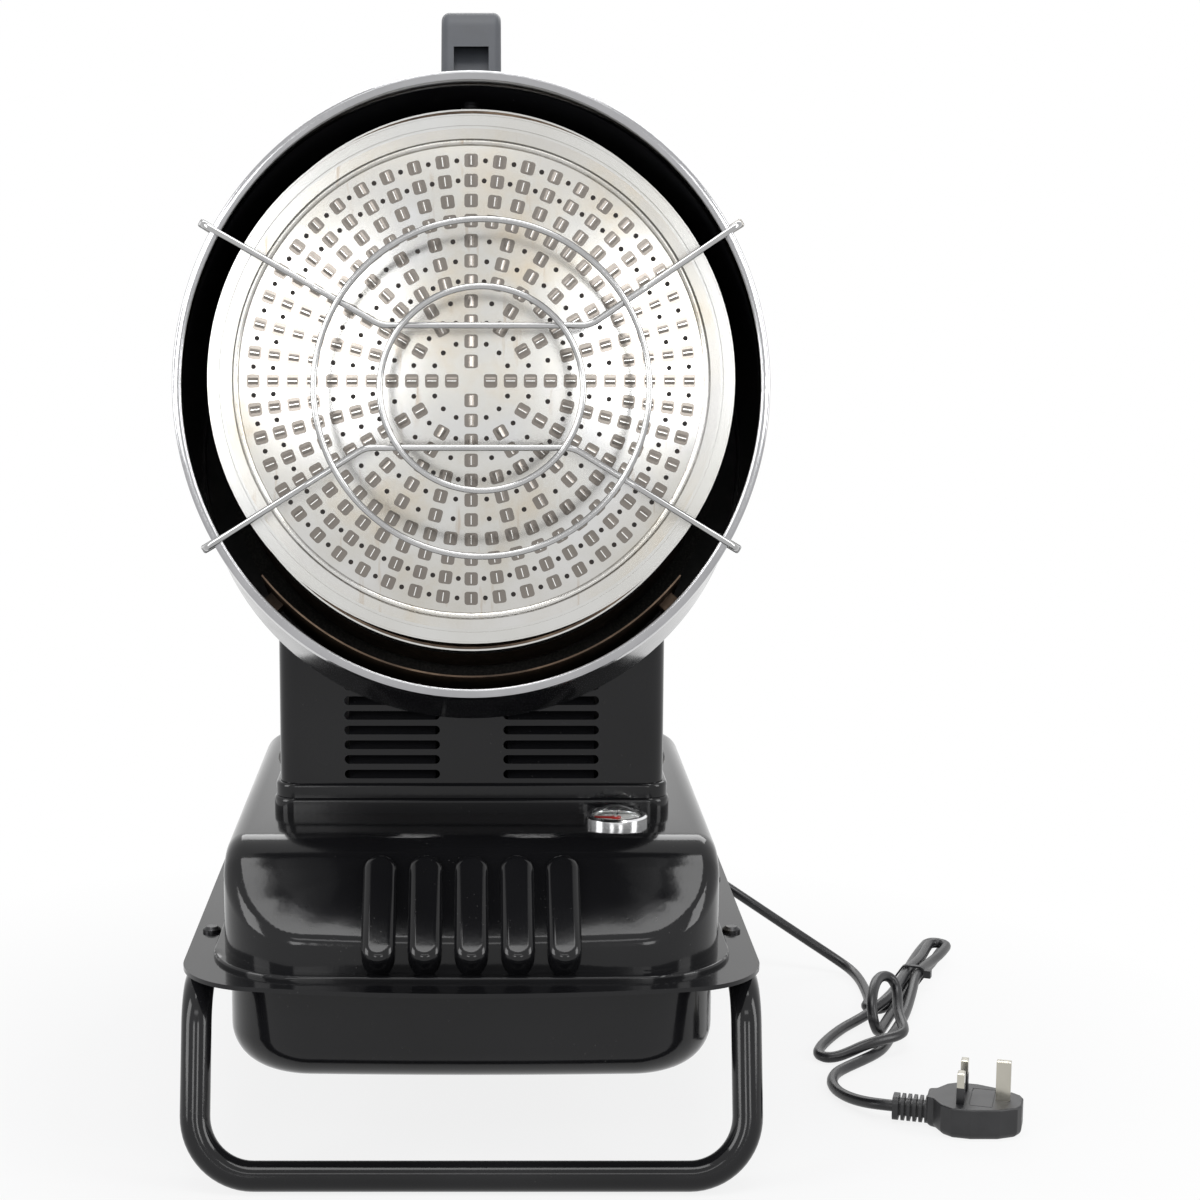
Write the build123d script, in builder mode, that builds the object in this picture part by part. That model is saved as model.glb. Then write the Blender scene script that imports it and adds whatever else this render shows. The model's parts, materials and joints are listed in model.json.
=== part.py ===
from build123d import *
import os
from math import asin, cos, degrees, dist, pi, radians, sin, sqrt, tan

os.makedirs("parts", exist_ok=True)

# Infrared diesel heater, all sizes in millimetres
# Origin on the floor under the middle, +Z up, the radiating front faces -Y

# Sheet metal and fits
sheet = 1.2
fit_gap = 0.3
shaft_gap = 0.05
screw_r = 2.5
screw_head_r = 5.0
screw_head = 3.0
screw_length = 10.0

# Tank: two pressings that share one flange
tank_middle_y = 10.5
flange_side = 20.5
flange_end = 25.0
flange_bow = 20.0
flange_corner = 46.0
flange_top = 110.0
tank_half_width = 133.0
tank_half_length = 181.0
flange_half_width = tank_half_width + flange_side
flange_half_length = tank_half_length + flange_end
tank_bow = 4.0
tank_corner = 46.0
tank_front_wall = 18.5
tank_slope_angle = 42.0
tank_slope_blend = 40.0
tank_plateau = 172.0
tank_shoulder = 11.0
tank_ledge = 6.0
tank_ledge_height = 2.6
tank_bottom = 50.0
tank_bottom_round = 22.0
tank_inset_below = 3.0
drain_r = 9.0
drain_height = 7.0
drain_stem_r = 5.4
drain_round = 0.8

# Pressed ribs on the sloping front of the tank
rib_count = 5
rib_pitch = 24.2
rib_width = 18.0
rib_height = 5.0
rib_length = 66.0
rib_drop = 12.0
rib_root = 12.0

# Raised platform under the burner housing
platform_rise = 8.5
platform_margin = 3.5
platform_corner = 13.0
platform_round = 2.5

# Stand of two bent tubes
tube_r = 8.0
tube_wall = 1.5
stand_inset = 9.0
stand_half_width = flange_half_width - stand_inset
foot_front_y = -185.0
foot_rear_y = 212.0
foot_bend = 31.0
arm_bend = 24.0
leg_lean = 27.0
front_arm_end_y = 38.0
rear_arm_end_y = 52.0
stand_screw_y = (-85.0, 23.0, 70.0, 165.0)
end_plug_depth = 12.0
end_plug_head = 3.0

# Filler behind the housing
filler_x = -70.0
filler_y = 152.0
filler_r = 23.0
filler_wall = 1.5
filler_rise = 16.0
filler_drop = 12.0
filler_flange_r = 28.0
filler_flange = 1.5
strainer_r = 18.0
strainer_depth = 55.0
strainer_wall = 0.8
cap_r = 27.0
cap_height = 20.0
cap_skirt_gap = 0.6
cap_top = 6.0
cap_grips = 12
grip_r = 2.5
seal_height = 2.0

# Fuel gauge with its float
gauge_x = 79.8
gauge_y = -82.0
gauge_r = 17.5
gauge_rim = 3.0
gauge_height = 4.5
gauge_stem_r = 12.0
gauge_stem = 12.0
gauge_floor = 1.5
dial_height = 0.6
lens_wall = 1.0
lens_dome = 5.5
pointer_r = 11.5
pointer_width = 1.8
pointer_height = 0.8
spindle_r = 0.8
float_hinge_z = 112.0
float_arm = 70.0
float_droop = 35.0
float_r = 12.0
float_length = 26.0
float_wire_r = 1.5
float_eye_r = 4.0
float_eye_width = 5.0
bracket_sheet = 2.0
bracket_width = 9.0

# Burner housing
housing_half_width = 108.0
housing_front_y = -60.0
housing_rear_y = 118.0
housing_corner = 10.0
housing_foot = 8.0
housing_foot_flare = 2.5
housing_height = 236.0
housing_sheet = 1.0
louvre_rows = 9
louvre_pitch = 8.4
louvre_first = 5.2
louvre_length = 53.5
louvre_height = 5.0
louvre_offset = 44.5
louvre_blade = 6.0
louvre_blade_angle = 40.0
panel_margin = 10.0
cover_skirt = 5.0
cover_round = 4.0
grille_half_width = 60.0
grille_z = 320.0
grille_rows = 7
grille_columns = 3
grille_pitch = 13.0
grille_slot = 34.0
grille_slot_height = 6.0
housing_screw_y = (-38.0, 96.0)
housing_screw_r = 2.0
housing_screw_head_r = 4.0
housing_screw_head = 2.0

# Burner head: a drum that points up, cut by a nearly upright mouth
mouth_y = -195.0
mouth_z = 419.0
head_tilt = 21.0
mouth_tilt = 4.0
drum_r = 145.0
drum_length = 118.0
drum_sheet = 1.2
back_lip = 10.0
back_slots = 12
back_slot_r = 105.0
back_slot_length = 46.0
back_slot_width = 7.0
rim_depth = 8.0
rim_reach = 1.9
rim_wall = 2.7
rim_cover = 2.0
rim_round = 1.2
rim_gap = 0.1
neck_r = 48.0
neck_sheet = 1.0
neck_straight = 78.0
neck_flare = 14.0

# Radiating face
face_recess = 15.0
face_rise = 3.0
ring_r = 131.0
ring_edge = 0.8
ring_step_r = 125.5
ring_step = 1.6
ring_inner_r = 112.0
disc_flange_r = 124.0
bead_r = 117.3
bead_half = 1.8
disc_r = 115.5
disc_dome = 7.0
face_sheet = 0.8
louvre_ring_pitch = 9.87
louvre_ring_first = 9.6
louvre_ring_counts = (4, 4, 12, 12, 24, 24, 24, 48, 48, 48, 48)
cell_size = 5.4
cell_rise = 1.2
cell_root = 0.4

# Combustion chamber inside the drum
chamber_r = 127.5
chamber_length = 86.0
chamber_sheet = 1.0
collar_length = 8.0
shield_r = 136.0
shield_length = 44.0
shield_spread = 50.0
shield_front = 6.0
shield_tab = 9.0

# Burner, fan and motor on the drum's axis
burner_r = 38.0
burner_sheet = 1.0
burner_front = 92.0
burner_rear = 196.0
nozzle_s = 150.0
nozzle_r = 7.0
nozzle_length = 34.0
diffuser_s = 140.0
electrode_r = 3.0
electrode_spread = 17.0
sensor_s = 188.0
sensor_r = 5.0
sensor_length = 26.0
sensor_inside = 6.0
fan_s = 236.0
fan_r = 57.0
fan_hub_r = 12.0
fan_width = 36.0
fan_blades = 7
fan_blade_sheet = 1.2
fan_chord = 34.0
fan_pitch = 50.0
fan_gap = 2.0
shaft_r = 4.0
motor_r = 31.0
motor_length = 42.0
motor_round = 4.0

# Wire guard
wire_r = 1.6
wire_weld = 0.5
guard_stand_off = 17.7
guard_ring_r = (81.2, 49.2)
guard_shift = 5.0
guard_bar_height = 29.5
guard_knee = 50.5
guard_bar_shift = (7.0, -1.0)
guard_lift = -1.0
guard_flat = 0.36
guard_hook_x = 130.5
guard_hook_z = 79.0
guard_hook_front = 4.0
guard_hook_back = 15.0
guard_knee_bend = 14.0
guard_hook_bend = 5.0
clip_width = 11.0
clip_depth = 8.0
clip_gap = 0.5
clip_reach = 8.0

# Carrying handle
handle_front = 18.0
handle_length = 130.0
handle_height = 53.0
handle_width = 30.0
handle_grip = 18.0
handle_leg = 24.0
handle_splay = 8.0
handle_legs = (5.0, -100.0)
handle_top_round = 14.0
handle_round = 8.0
handle_edge = 4.0
handle_channel_width = 17.5
handle_channel_depth = 6.0

# Controls on the rear panel
switch_x = -34.0
switch_z = 226.0
switch_half_width = 11.0
switch_half_height = 15.5
switch_bezel_height = 3.0
switch_depth = 14.0
rocker_half_width = 7.7
rocker_half_height = 10.8
rocker_reach = 5.0
rocker_tilt = 10.0
rocker_pivot_r = 1.5
rocker_wall = 1.6
knob_x = 20.0
knob_r = 16.0
knob_height = 14.0
knob_taper = 2.0
knob_lift = 0.8
knob_spindle_r = 3.0
thermostat_size = 30.0
thermostat_depth = 15.0

# Fuel and ignition gear inside the housing
pump_x = -58.0
pump_y = 45.0
pump_size = 42.0
pump_height = 46.0
pump_head_r = 16.0
pump_head = 12.0
pickup_r = 3.0
pickup_clear = 8.0
filter_r = 13.0
filter_height = 40.0
transformer_x = 52.0
transformer_y = 40.0
transformer_width = 62.0
transformer_depth = 48.0
transformer_height = 50.0
board_height = 70.0
board_length = 80.0
board_sheet = 1.6
standoff = 6.0
standoff_r = 3.0
pipe_r = 2.5
pipe_bend = 9.0
pipe_side_x = -80.0

# Mains lead
cord_r = 3.25
gland_x = 72.0
gland_z = 212.0
gland_flange_r = 10.0
gland_flange = 3.0
gland_body_r = 7.5
gland_tip_r = 4.8
gland_length = 30.0
gland_inner = 8.0
cord_inner_share = 0.45
tie_place = (288.0, 150.0, 0.0)
tie_direction = (0.365, 0.931, 0.0)
tie_strands = ((-4.1, 5.6), (3.35, 5.6), (-0.15, 11.8), (7.35, 11.8))
tie_width = 3.5
tie_sheet = 1.2
tie_buckle = 5.0

# Route of the lead, its hank and its tail, lying on the floor where the height is the cord's radius
lead_route = (
    (72.0, 160.0, 212.0), (73.0, 180.0, 206.0), (77.0, 199.0, 193.0), (83.0, 216.0, 172.0),
    (91.0, 229.0, 146.0), (102.0, 238.0, 118.0), (117.0, 243.0, 92.0), (140.0, 240.0, 70.0),
    (179.6, 206.7, 50.0), (222.9, 194.3, 23.0), (247.5, 184.5, 8.5), (256.2, 174.4, 4.0),
    (258.6, 151.9, cord_r), (258.1, 134.4, cord_r),
)
hank_route = (
    (257.6, 116.9, cord_r), (254.8, 109.3, cord_r), (253.0, 104.2, cord_r), (254.9, 99.7, cord_r),
    (259.3, 98.0, cord_r), (263.7, 100.0, cord_r), (266.7, 106.8, 3.35), (271.5, 120.0, 3.95),
    (279.9, 140.3, 5.6), (287.7, 160.8, 5.6), (296.4, 187.5, 3.55), (305.4, 211.9, cord_r),
    (311.6, 226.7, cord_r), (315.7, 235.8, cord_r), (318.6, 241.7, cord_r), (323.0, 243.8, cord_r),
    (327.7, 242.0, cord_r), (329.7, 237.3, cord_r), (327.7, 231.1, cord_r), (323.2, 220.0, cord_r),
    (317.1, 205.2, cord_r), (307.6, 183.1, 3.55), (295.6, 159.9, 5.6), (286.6, 137.7, 5.6),
    (274.7, 107.9, 3.65), (263.3, 80.2, 3.45), (255.4, 58.6, 3.65), (251.0, 45.3, 6.2),
    (247.9, 38.4, 12.0), (245.9, 38.2, 19.5), (246.4, 44.4, 26.5), (249.1, 54.6, 31.2),
    (252.9, 64.9, 33.7), (258.1, 72.6, 34.0), (263.8, 75.7, 31.5), (267.0, 72.8, 26.0),
    (266.3, 65.6, 20.5), (264.7, 54.9, 16.5), (264.8, 44.2, 14.0), (265.0, 35.0, 12.6),
    (262.8, 26.7, 12.3), (256.6, 20.5, 12.0), (247.3, 15.6, 11.6), (237.0, 11.6, 9.8),
    (227.9, 8.7, 6.6), (219.7, 7.1, 4.0), (213.0, 8.0, cord_r), (209.5, 13.8, cord_r),
    (210.9, 21.8, cord_r), (215.6, 33.4, cord_r), (224.1, 49.4, cord_r), (232.7, 63.2, cord_r),
    (241.4, 73.8, 3.55), (249.5, 82.4, 4.6), (257.0, 89.1, 7.3), (264.4, 97.0, 9.9),
    (272.2, 111.1, 11.0), (283.3, 138.9, 11.8), (291.6, 159.3, 11.8), (300.4, 177.3, 10.6),
    (306.3, 192.2, 10.3), (310.3, 203.6, 10.3), (313.4, 212.0, 10.3), (315.6, 216.9, 10.3),
    (320.1, 218.9, 10.3), (324.5, 217.2, 10.3), (326.4, 212.7, 10.3), (324.3, 206.7, 10.3),
    (320.3, 197.5, 10.3), (314.3, 185.9, 10.3), (306.8, 172.7, 10.6), (298.2, 155.7, 11.8),
    (290.4, 136.2, 11.5), (283.7, 113.0, 7.4), (275.8, 88.2, 4.2), (266.7, 63.8, cord_r),
    (258.1, 43.6, cord_r), (251.1, 25.1, cord_r), (243.3, 13.5, cord_r), (234.8, 3.8, cord_r),
    (226.7, -4.8, cord_r),
)
tail_route = (
    (218.6, -13.4, cord_r), (213.0, -23.5, cord_r), (210.2, -36.0, cord_r), (211.5, -48.5, 3.35),
    (215.8, -61.4, 4.45), (222.1, -72.1, 5.95), (229.3, -81.4, 8.0), (237.6, -83.9, 8.0),
)

# Plug, lying on its back with its pins up
plug_height = 18.0
plug_half_outline = ((19.0, 7.5), (23.0, 9.0), (28.0, 17.5), (34.0, 21.5), (45.0, 21.5), (60.0, 17.0),
                     (69.0, 10.5), (71.0, 6.0))
plug_corner = 2.0
plug_bottom_round = 4.5
plug_top_round = 1.0
relief_length = 22.0
relief_width = 14.0
relief_height = 13.5
relief_round = 4.0
relief_slots = 5
relief_slot_pitch = 3.3
relief_slot_width = 1.5
relief_slot_depth = 2.6
pin_row = 38.0
pin_spread = 22.2
pin_width = 6.4
pin_thickness = 4.0
pin_length = 17.7
pin_root = 10.0
pin_round = 0.8
earth_step = 22.2
earth_width = 8.0
earth_length = 22.7
fuse_cover_width = 13.0
fuse_cover_length = 28.0
fuse_cover_line = 0.5


def tank_outline(half_w, half_l, bow, corner):
    """Rounded rectangle with gently bowed ends, seen from above."""
    with BuildSketch(mode=Mode.PRIVATE) as outline:
        with BuildLine():
            ThreePointArc((-half_w, bow - half_l), (0, -half_l), (half_w, bow - half_l))
            Line((half_w, bow - half_l), (half_w, half_l - bow))
            ThreePointArc((half_w, half_l - bow), (0, half_l), (-half_w, half_l - bow))
            Line((-half_w, half_l - bow), (-half_w, bow - half_l))
        make_face()
        fillet(outline.vertices(), corner)
    return outline.sketch


def level(z, x=0.0, y=tank_middle_y):
    """Horizontal plane at height z."""
    return Plane(origin=(x, y, z), x_dir=(1, 0, 0), z_dir=(0, 0, 1))


def half_section(plane):
    """Plane of a revolved profile: across is the radius, up runs along the plane's normal."""
    return Plane(origin=plane.origin, x_dir=plane.x_dir, z_dir=plane.x_dir.cross(plane.z_dir))


def axis_of(plane):
    """Axis through a plane's origin, along its normal."""
    return Axis(plane.origin, plane.z_dir)


def moved(plane, x=0.0, y=0.0, z=0.0):
    """The same plane with its origin moved in its own directions."""
    return Plane(origin=plane.from_local_coords((x, y, z)), x_dir=plane.x_dir, z_dir=plane.z_dir)


def dome_height(radius, edge_r, rise):
    """Height of a shallow dome above its edge, at a radius."""
    ball_r = (edge_r ** 2 + rise ** 2) / (2 * rise)
    return sqrt(ball_r ** 2 - radius ** 2) - ball_r + rise


def behind_mouth(distance):
    """Plane parallel to the mouth, a distance behind it."""
    return mouth.offset(-distance)


def finish(piece, name):
    """Label a piece and write it."""
    piece.part.label = name
    export_step(piece.part, "parts/" + name + ".step")
    print(name, len(piece.part.solids()), round(piece.part.volume))


# Head frames: along the drum's axis, and square to its mouth
tilt = radians(head_tilt)
lean = radians(mouth_tilt)
cut_angle = radians(head_tilt - mouth_tilt)
head = Plane(origin=(0, mouth_y, mouth_z), x_dir=(1, 0, 0), z_dir=(0, -cos(tilt), sin(tilt)))
mouth = Plane(origin=(0, mouth_y, mouth_z), x_dir=(1, 0, 0), z_dir=(0, -cos(lean), sin(lean)))
face = moved(mouth, y=face_rise, z=-face_recess)
chamber = Plane(origin=face.origin, x_dir=head.x_dir, z_dir=head.z_dir)
reach = drum_r * tan(cut_angle) + rim_depth * 2

# Tank levels and the housing's footprint
seam = flange_top - sheet
platform_top = tank_plateau + platform_rise
slope = radians(tank_slope_angle)
wall_y = tank_middle_y - tank_half_length
wall_z = flange_top + tank_front_wall
housing_middle_y = (housing_front_y + housing_rear_y) / 2
housing_depth = housing_rear_y - housing_front_y
housing_wall_base = platform_top + housing_foot
housing_top = housing_wall_base + housing_height


def lower_form(inset):
    """Solid of the lower pressing; an inset shrinks it to its hollow."""
    with BuildPart(mode=Mode.PRIVATE) as form:
        with BuildSketch(level(tank_bottom + inset)):
            add(tank_outline(tank_half_width - tank_inset_below - inset,
                             tank_half_length - tank_inset_below - inset,
                             tank_bow, tank_corner - inset))
        extrude(amount=seam - tank_bottom)
        fillet(form.faces().sort_by(Axis.Z)[0].edges(), tank_bottom_round - inset)
    return form.part


def upper_form(inset):
    """Solid of the upper pressing; an inset shrinks it to its hollow."""
    half_w = tank_half_width - inset
    half_l = tank_half_length - inset
    top = tank_plateau - inset
    base = seam - sheet - inset
    start_y = wall_y + inset * sin(slope)
    start_z = wall_z - inset * cos(slope)
    knee_y = start_y + (top - start_z) / tan(slope)
    front = wall_y - tank_ledge
    back = tank_middle_y + tank_half_length + tank_ledge
    with BuildPart(mode=Mode.PRIVATE) as form:
        with BuildSketch(level(base)):
            add(tank_outline(half_w, half_l, tank_bow, tank_corner - inset))
        extrude(amount=top + platform_rise - base)
        with BuildSketch(Plane.YZ.offset(-tank_half_width)):
            with BuildLine() as side:
                Polyline((front, base), (front, start_z - (start_y - front) * tan(slope)),
                         (knee_y, top), (back, top), (back, base), close=True)
                knee = side.vertices().sort_by_distance((knee_y, top, 0))[0]
                fillet(knee, tank_slope_blend - inset)
            make_face()
        extrude(amount=2 * tank_half_width, mode=Mode.INTERSECT)
        rims = form.edges().filter_by(lambda e: e.bounding_box().min.Z > base + 1)
        across = rims.filter_by(GeomType.LINE).filter_by(Axis.X)
        fillet([edge for edge in rims if edge not in across], tank_shoulder - inset)
    return form.part


def platform_form(inset):
    """Solid of the raised platform; an inset shrinks it to its hollow."""
    with BuildPart(mode=Mode.PRIVATE) as form:
        with BuildSketch(level(tank_plateau - sheet * 2 - inset, y=housing_middle_y)):
            RectangleRounded(2 * (housing_half_width + platform_margin - inset),
                             housing_depth + 2 * (platform_margin - inset),
                             platform_corner - inset)
        extrude(amount=platform_rise + sheet * 2)
        fillet(form.faces().sort_by(Axis.Z)[-1].edges(), platform_round - inset)
    return form.part


# Lower tank pressing
lower_outside = lower_form(0)
lower_hollow = lower_form(sheet)
with BuildPart() as tank_lower_shell:
    add(lower_outside)
    with BuildSketch(level(seam - sheet)):
        add(tank_outline(flange_half_width, flange_half_length, flange_bow, flange_corner))
    extrude(amount=sheet)
    add(lower_hollow, mode=Mode.SUBTRACT)
    for side in (-1, 1):
        for screw_y in stand_screw_y:
            with Locations((side * stand_half_width, screw_y, seam)):
                Cylinder(screw_r + fit_gap, sheet * 4, mode=Mode.SUBTRACT)
    with Locations((0, tank_middle_y, tank_bottom)):
        Cylinder(drain_stem_r + fit_gap, sheet * 4, mode=Mode.SUBTRACT)
finish(tank_lower_shell, "tank_lower_shell")

# Drain plug under the tank
with BuildPart() as drain_plug:
    with BuildSketch(level(tank_bottom - drain_height + sheet)):
        RegularPolygon(drain_r, 6)
    extrude(amount=drain_height - sheet)
    with BuildSketch(level(tank_bottom)):
        Circle(drain_stem_r)
    extrude(amount=sheet * 3)
    fillet(drain_plug.faces().sort_by(Axis.Z)[0].edges(), drain_round)
finish(drain_plug, "drain_plug")

# Upper tank pressing with its ribs and platform
upper_outside = upper_form(0)
upper_hollow = upper_form(sheet)
platform_outside = platform_form(0)
platform_hollow = platform_form(sheet)
slope_face = Plane(origin=(0, wall_y, wall_z), x_dir=(1, 0, 0), z_dir=(0, -sin(slope), cos(slope)))
with BuildPart() as ribs:
    with BuildSketch(slope_face.offset(-rib_root)):
        with Locations((0, rib_length / 2 - rib_drop)):
            with GridLocations(rib_pitch, 1, rib_count, 1):
                SlotOverall(rib_length, rib_width, rotation=90)
    extrude(amount=rib_root + rib_height)
    crests = ribs.faces().filter_by(Axis(slope_face.origin, slope_face.z_dir)).sort_by(Axis.Z)
    tops = [f for f in crests if slope_face.to_local_coords(f.center()).Z > 0]
    fillet([edge for f in tops for edge in f.edges()], rib_height - 0.4)
with BuildPart() as tank_upper_shell:
    with BuildSketch(level(seam)):
        add(tank_outline(flange_half_width, flange_half_length, flange_bow, flange_corner))
    extrude(amount=sheet)
    with BuildSketch(level(flange_top)):
        add(tank_outline(tank_half_width + tank_ledge, tank_half_length + tank_ledge, tank_bow,
                         tank_corner + tank_ledge))
    extrude(amount=tank_ledge_height)
    fillet(tank_upper_shell.faces().sort_by(Axis.Z)[-1].edges(), tank_ledge_height / 2)
    add(upper_outside)
    add(platform_outside)
    add(ribs.part)
    with Locations((0, tank_middle_y, seam - tank_plateau / 2)):
        Box(2 * flange_half_width, 2 * flange_half_length, tank_plateau, mode=Mode.SUBTRACT)
    add(upper_hollow, mode=Mode.SUBTRACT)
    add(platform_hollow, mode=Mode.SUBTRACT)
    for side in (-1, 1):
        for screw_y in stand_screw_y:
            with Locations((side * stand_half_width, screw_y, flange_top)):
                Cylinder(screw_r + fit_gap, sheet * 4, mode=Mode.SUBTRACT)
    with Locations((filler_x, filler_y, tank_plateau)):
        Cylinder(filler_r + fit_gap, sheet * 4, mode=Mode.SUBTRACT)
    with Locations((gauge_x, gauge_y, tank_plateau)):
        Cylinder(gauge_stem_r + fit_gap, sheet * 4, mode=Mode.SUBTRACT)
    with Locations((pump_x, pump_y, platform_top)):
        Cylinder(pickup_r + fit_gap, sheet * 4, mode=Mode.SUBTRACT)
finish(tank_upper_shell, "tank_upper_shell")


def turned(plane, points):
    """Solid turned about a plane's normal from a profile of (radius, height) points."""
    with BuildPart(mode=Mode.PRIVATE) as solid:
        with BuildSketch(half_section(plane)):
            with BuildLine():
                Polyline(*points, close=True)
            make_face()
        revolve(axis=axis_of(plane))
    return solid.part


# Stand: front and rear tubes, each with two arms under the flange and a foot across
arm_z = seam - sheet - tube_r


def bent_tube(foot_y, arm_end_y):
    """One tube of the stand, from arm end to arm end."""
    corner_y = foot_y - leg_lean if foot_y > arm_end_y else foot_y + leg_lean
    half = stand_half_width
    with BuildLine(mode=Mode.PRIVATE) as route:
        FilletPolyline((-half, arm_end_y, arm_z), (-half, corner_y, arm_z), (-half, foot_y, tube_r),
                       (half, foot_y, tube_r), (half, corner_y, arm_z), (half, arm_end_y, arm_z),
                       radius=[arm_bend, foot_bend, foot_bend, arm_bend])
    line = route.line
    with BuildPart(mode=Mode.PRIVATE) as tube:
        with BuildSketch(Plane(origin=line @ 0, z_dir=line % 0)):
            Circle(tube_r)
            Circle(tube_r - tube_wall, mode=Mode.SUBTRACT)
        sweep(path=line)
        for side in (-1, 1):
            for screw_y in stand_screw_y:
                if (screw_y > arm_end_y) == (foot_y > arm_end_y):
                    with Locations((side * half, screw_y, seam - sheet)):
                        Cylinder(screw_r + fit_gap, tube_r, mode=Mode.SUBTRACT)
    return tube.part


with BuildPart() as front_stand:
    add(bent_tube(foot_front_y, front_arm_end_y))
finish(front_stand, "front_stand")

with BuildPart() as rear_stand:
    add(bent_tube(foot_rear_y, rear_arm_end_y))
finish(rear_stand, "rear_stand")

with BuildPart() as stand_end_plugs:
    for side in (-1, 1):
        for end_y, outward in ((front_arm_end_y, 1), (rear_arm_end_y, -1)):
            end = Plane(origin=(side * stand_half_width, end_y, arm_z), z_dir=(0, outward, 0))
            add(turned(end, [(0, -end_plug_depth), (tube_r - tube_wall - shaft_gap, -end_plug_depth),
                             (tube_r - tube_wall - shaft_gap, 0), (tube_r, 0),
                             (tube_r, end_plug_head / 2), (tube_r / 2, end_plug_head),
                             (0, end_plug_head)]))
finish(stand_end_plugs, "stand_end_plugs")

with BuildPart() as stand_screws:
    for side in (-1, 1):
        for screw_y in stand_screw_y:
            add(turned(level(flange_top, side * stand_half_width, screw_y),
                       [(0, -screw_length), (screw_r, -screw_length), (screw_r, 0),
                        (screw_head_r, 0), (screw_head_r, screw_head / 2),
                        (screw_head_r * 0.6, screw_head), (0, screw_head)]))
finish(stand_screws, "stand_screws")

# Filler neck, strainer, cap and seal
filler = level(tank_plateau, filler_x, filler_y)
filler_bore = filler_r - filler_wall
ledge_bore = strainer_r + strainer_wall
with BuildPart() as filler_neck:
    add(turned(filler, [(ledge_bore, -filler_drop), (filler_r, -filler_drop), (filler_r, 0),
                        (filler_flange_r, 0), (filler_flange_r, filler_flange),
                        (filler_r, filler_flange), (filler_r, filler_rise),
                        (filler_bore, filler_rise), (filler_bore, filler_rise / 2),
                        (ledge_bore, filler_rise / 2)]))
finish(filler_neck, "filler_neck")

with BuildPart() as filler_strainer:
    add(turned(filler, [(0, -strainer_depth), (strainer_r, -strainer_depth),
                        (strainer_r, filler_rise / 2), (filler_bore - fit_gap, filler_rise / 2),
                        (filler_bore - fit_gap, filler_rise / 2 + strainer_wall),
                        (strainer_r - strainer_wall, filler_rise / 2 + strainer_wall),
                        (strainer_r - strainer_wall, strainer_wall - strainer_depth),
                        (0, strainer_wall - strainer_depth)]))
finish(filler_strainer, "filler_strainer")

cap_bore = filler_r + cap_skirt_gap
with BuildPart() as filler_cap:
    add(turned(filler, [(0, filler_rise + seal_height), (cap_bore, filler_rise + seal_height),
                        (cap_bore, filler_rise + seal_height + cap_top - cap_height),
                        (cap_r, filler_rise + seal_height + cap_top - cap_height),
                        (cap_r, filler_rise + seal_height + cap_top - 2),
                        (cap_r - 2, filler_rise + seal_height + cap_top),
                        (0, filler_rise + seal_height + cap_top)]))
    with BuildSketch(filler.offset(filler_rise + seal_height + cap_top - cap_height)):
        with PolarLocations(cap_r + 1, cap_grips):
            Circle(grip_r)
    extrude(amount=cap_height, mode=Mode.SUBTRACT)
finish(filler_cap, "filler_cap")

with BuildPart() as cap_seal:
    add(turned(filler, [(filler_bore - 2, filler_rise), (filler_r, filler_rise),
                        (filler_r, filler_rise + seal_height),
                        (filler_bore - 2, filler_rise + seal_height)]))
finish(cap_seal, "cap_seal")

# Fuel gauge: body with its hinge bracket, dial, pointer, lens and float
gauge = level(tank_plateau, gauge_x, gauge_y)
lens_r = gauge_r - gauge_rim
with BuildPart() as gauge_body:
    add(turned(gauge, [(0, -gauge_stem), (gauge_stem_r, -gauge_stem), (gauge_stem_r, 0),
                       (gauge_r, 0), (gauge_r, gauge_height - 1), (gauge_r - 1, gauge_height),
                       (lens_r + 0.1, gauge_height), (lens_r + 0.1, gauge_floor),
                       (0, gauge_floor)]))
    for side in (-1, 1):
        cheek_y = gauge_y + side * (float_eye_width / 2 + 0.5 + bracket_sheet / 2)
        cheek_top = tank_plateau - gauge_stem
        with Locations((gauge_x, cheek_y, (cheek_top + float_hinge_z) / 2)):
            Box(bracket_width, bracket_sheet, cheek_top - float_hinge_z)
        with Locations((gauge_x, cheek_y, float_hinge_z)):
            Cylinder(bracket_width / 2, bracket_sheet, rotation=(90, 0, 0))
    with Locations((gauge_x, gauge_y, float_hinge_z)):
        Cylinder(float_wire_r, float_eye_width + 1 + 2 * bracket_sheet, rotation=(90, 0, 0))
finish(gauge_body, "gauge_body")

dial_z = gauge_floor + dial_height
with BuildPart() as gauge_dial:
    add(turned(gauge, [(0, gauge_floor), (lens_r, gauge_floor), (lens_r, dial_z),
                       (spindle_r, dial_z), (spindle_r, dial_z + 2 * pointer_height),
                       (0, dial_z + 2 * pointer_height)]))
finish(gauge_dial, "gauge_dial")

with BuildPart() as gauge_pointer:
    with BuildSketch(gauge.offset(dial_z + pointer_height / 4)):
        Circle(2.5 * spindle_r + pointer_width / 2)
        with BuildLine():
            Polyline((0, pointer_width / 2), (-pointer_r, pointer_width / 4),
                     (-pointer_r, -pointer_width / 4), (0, -pointer_width / 2), close=True)
        make_face()
        Circle(spindle_r + shaft_gap, mode=Mode.SUBTRACT)
    extrude(amount=pointer_height)
finish(gauge_pointer, "gauge_pointer")

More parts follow.
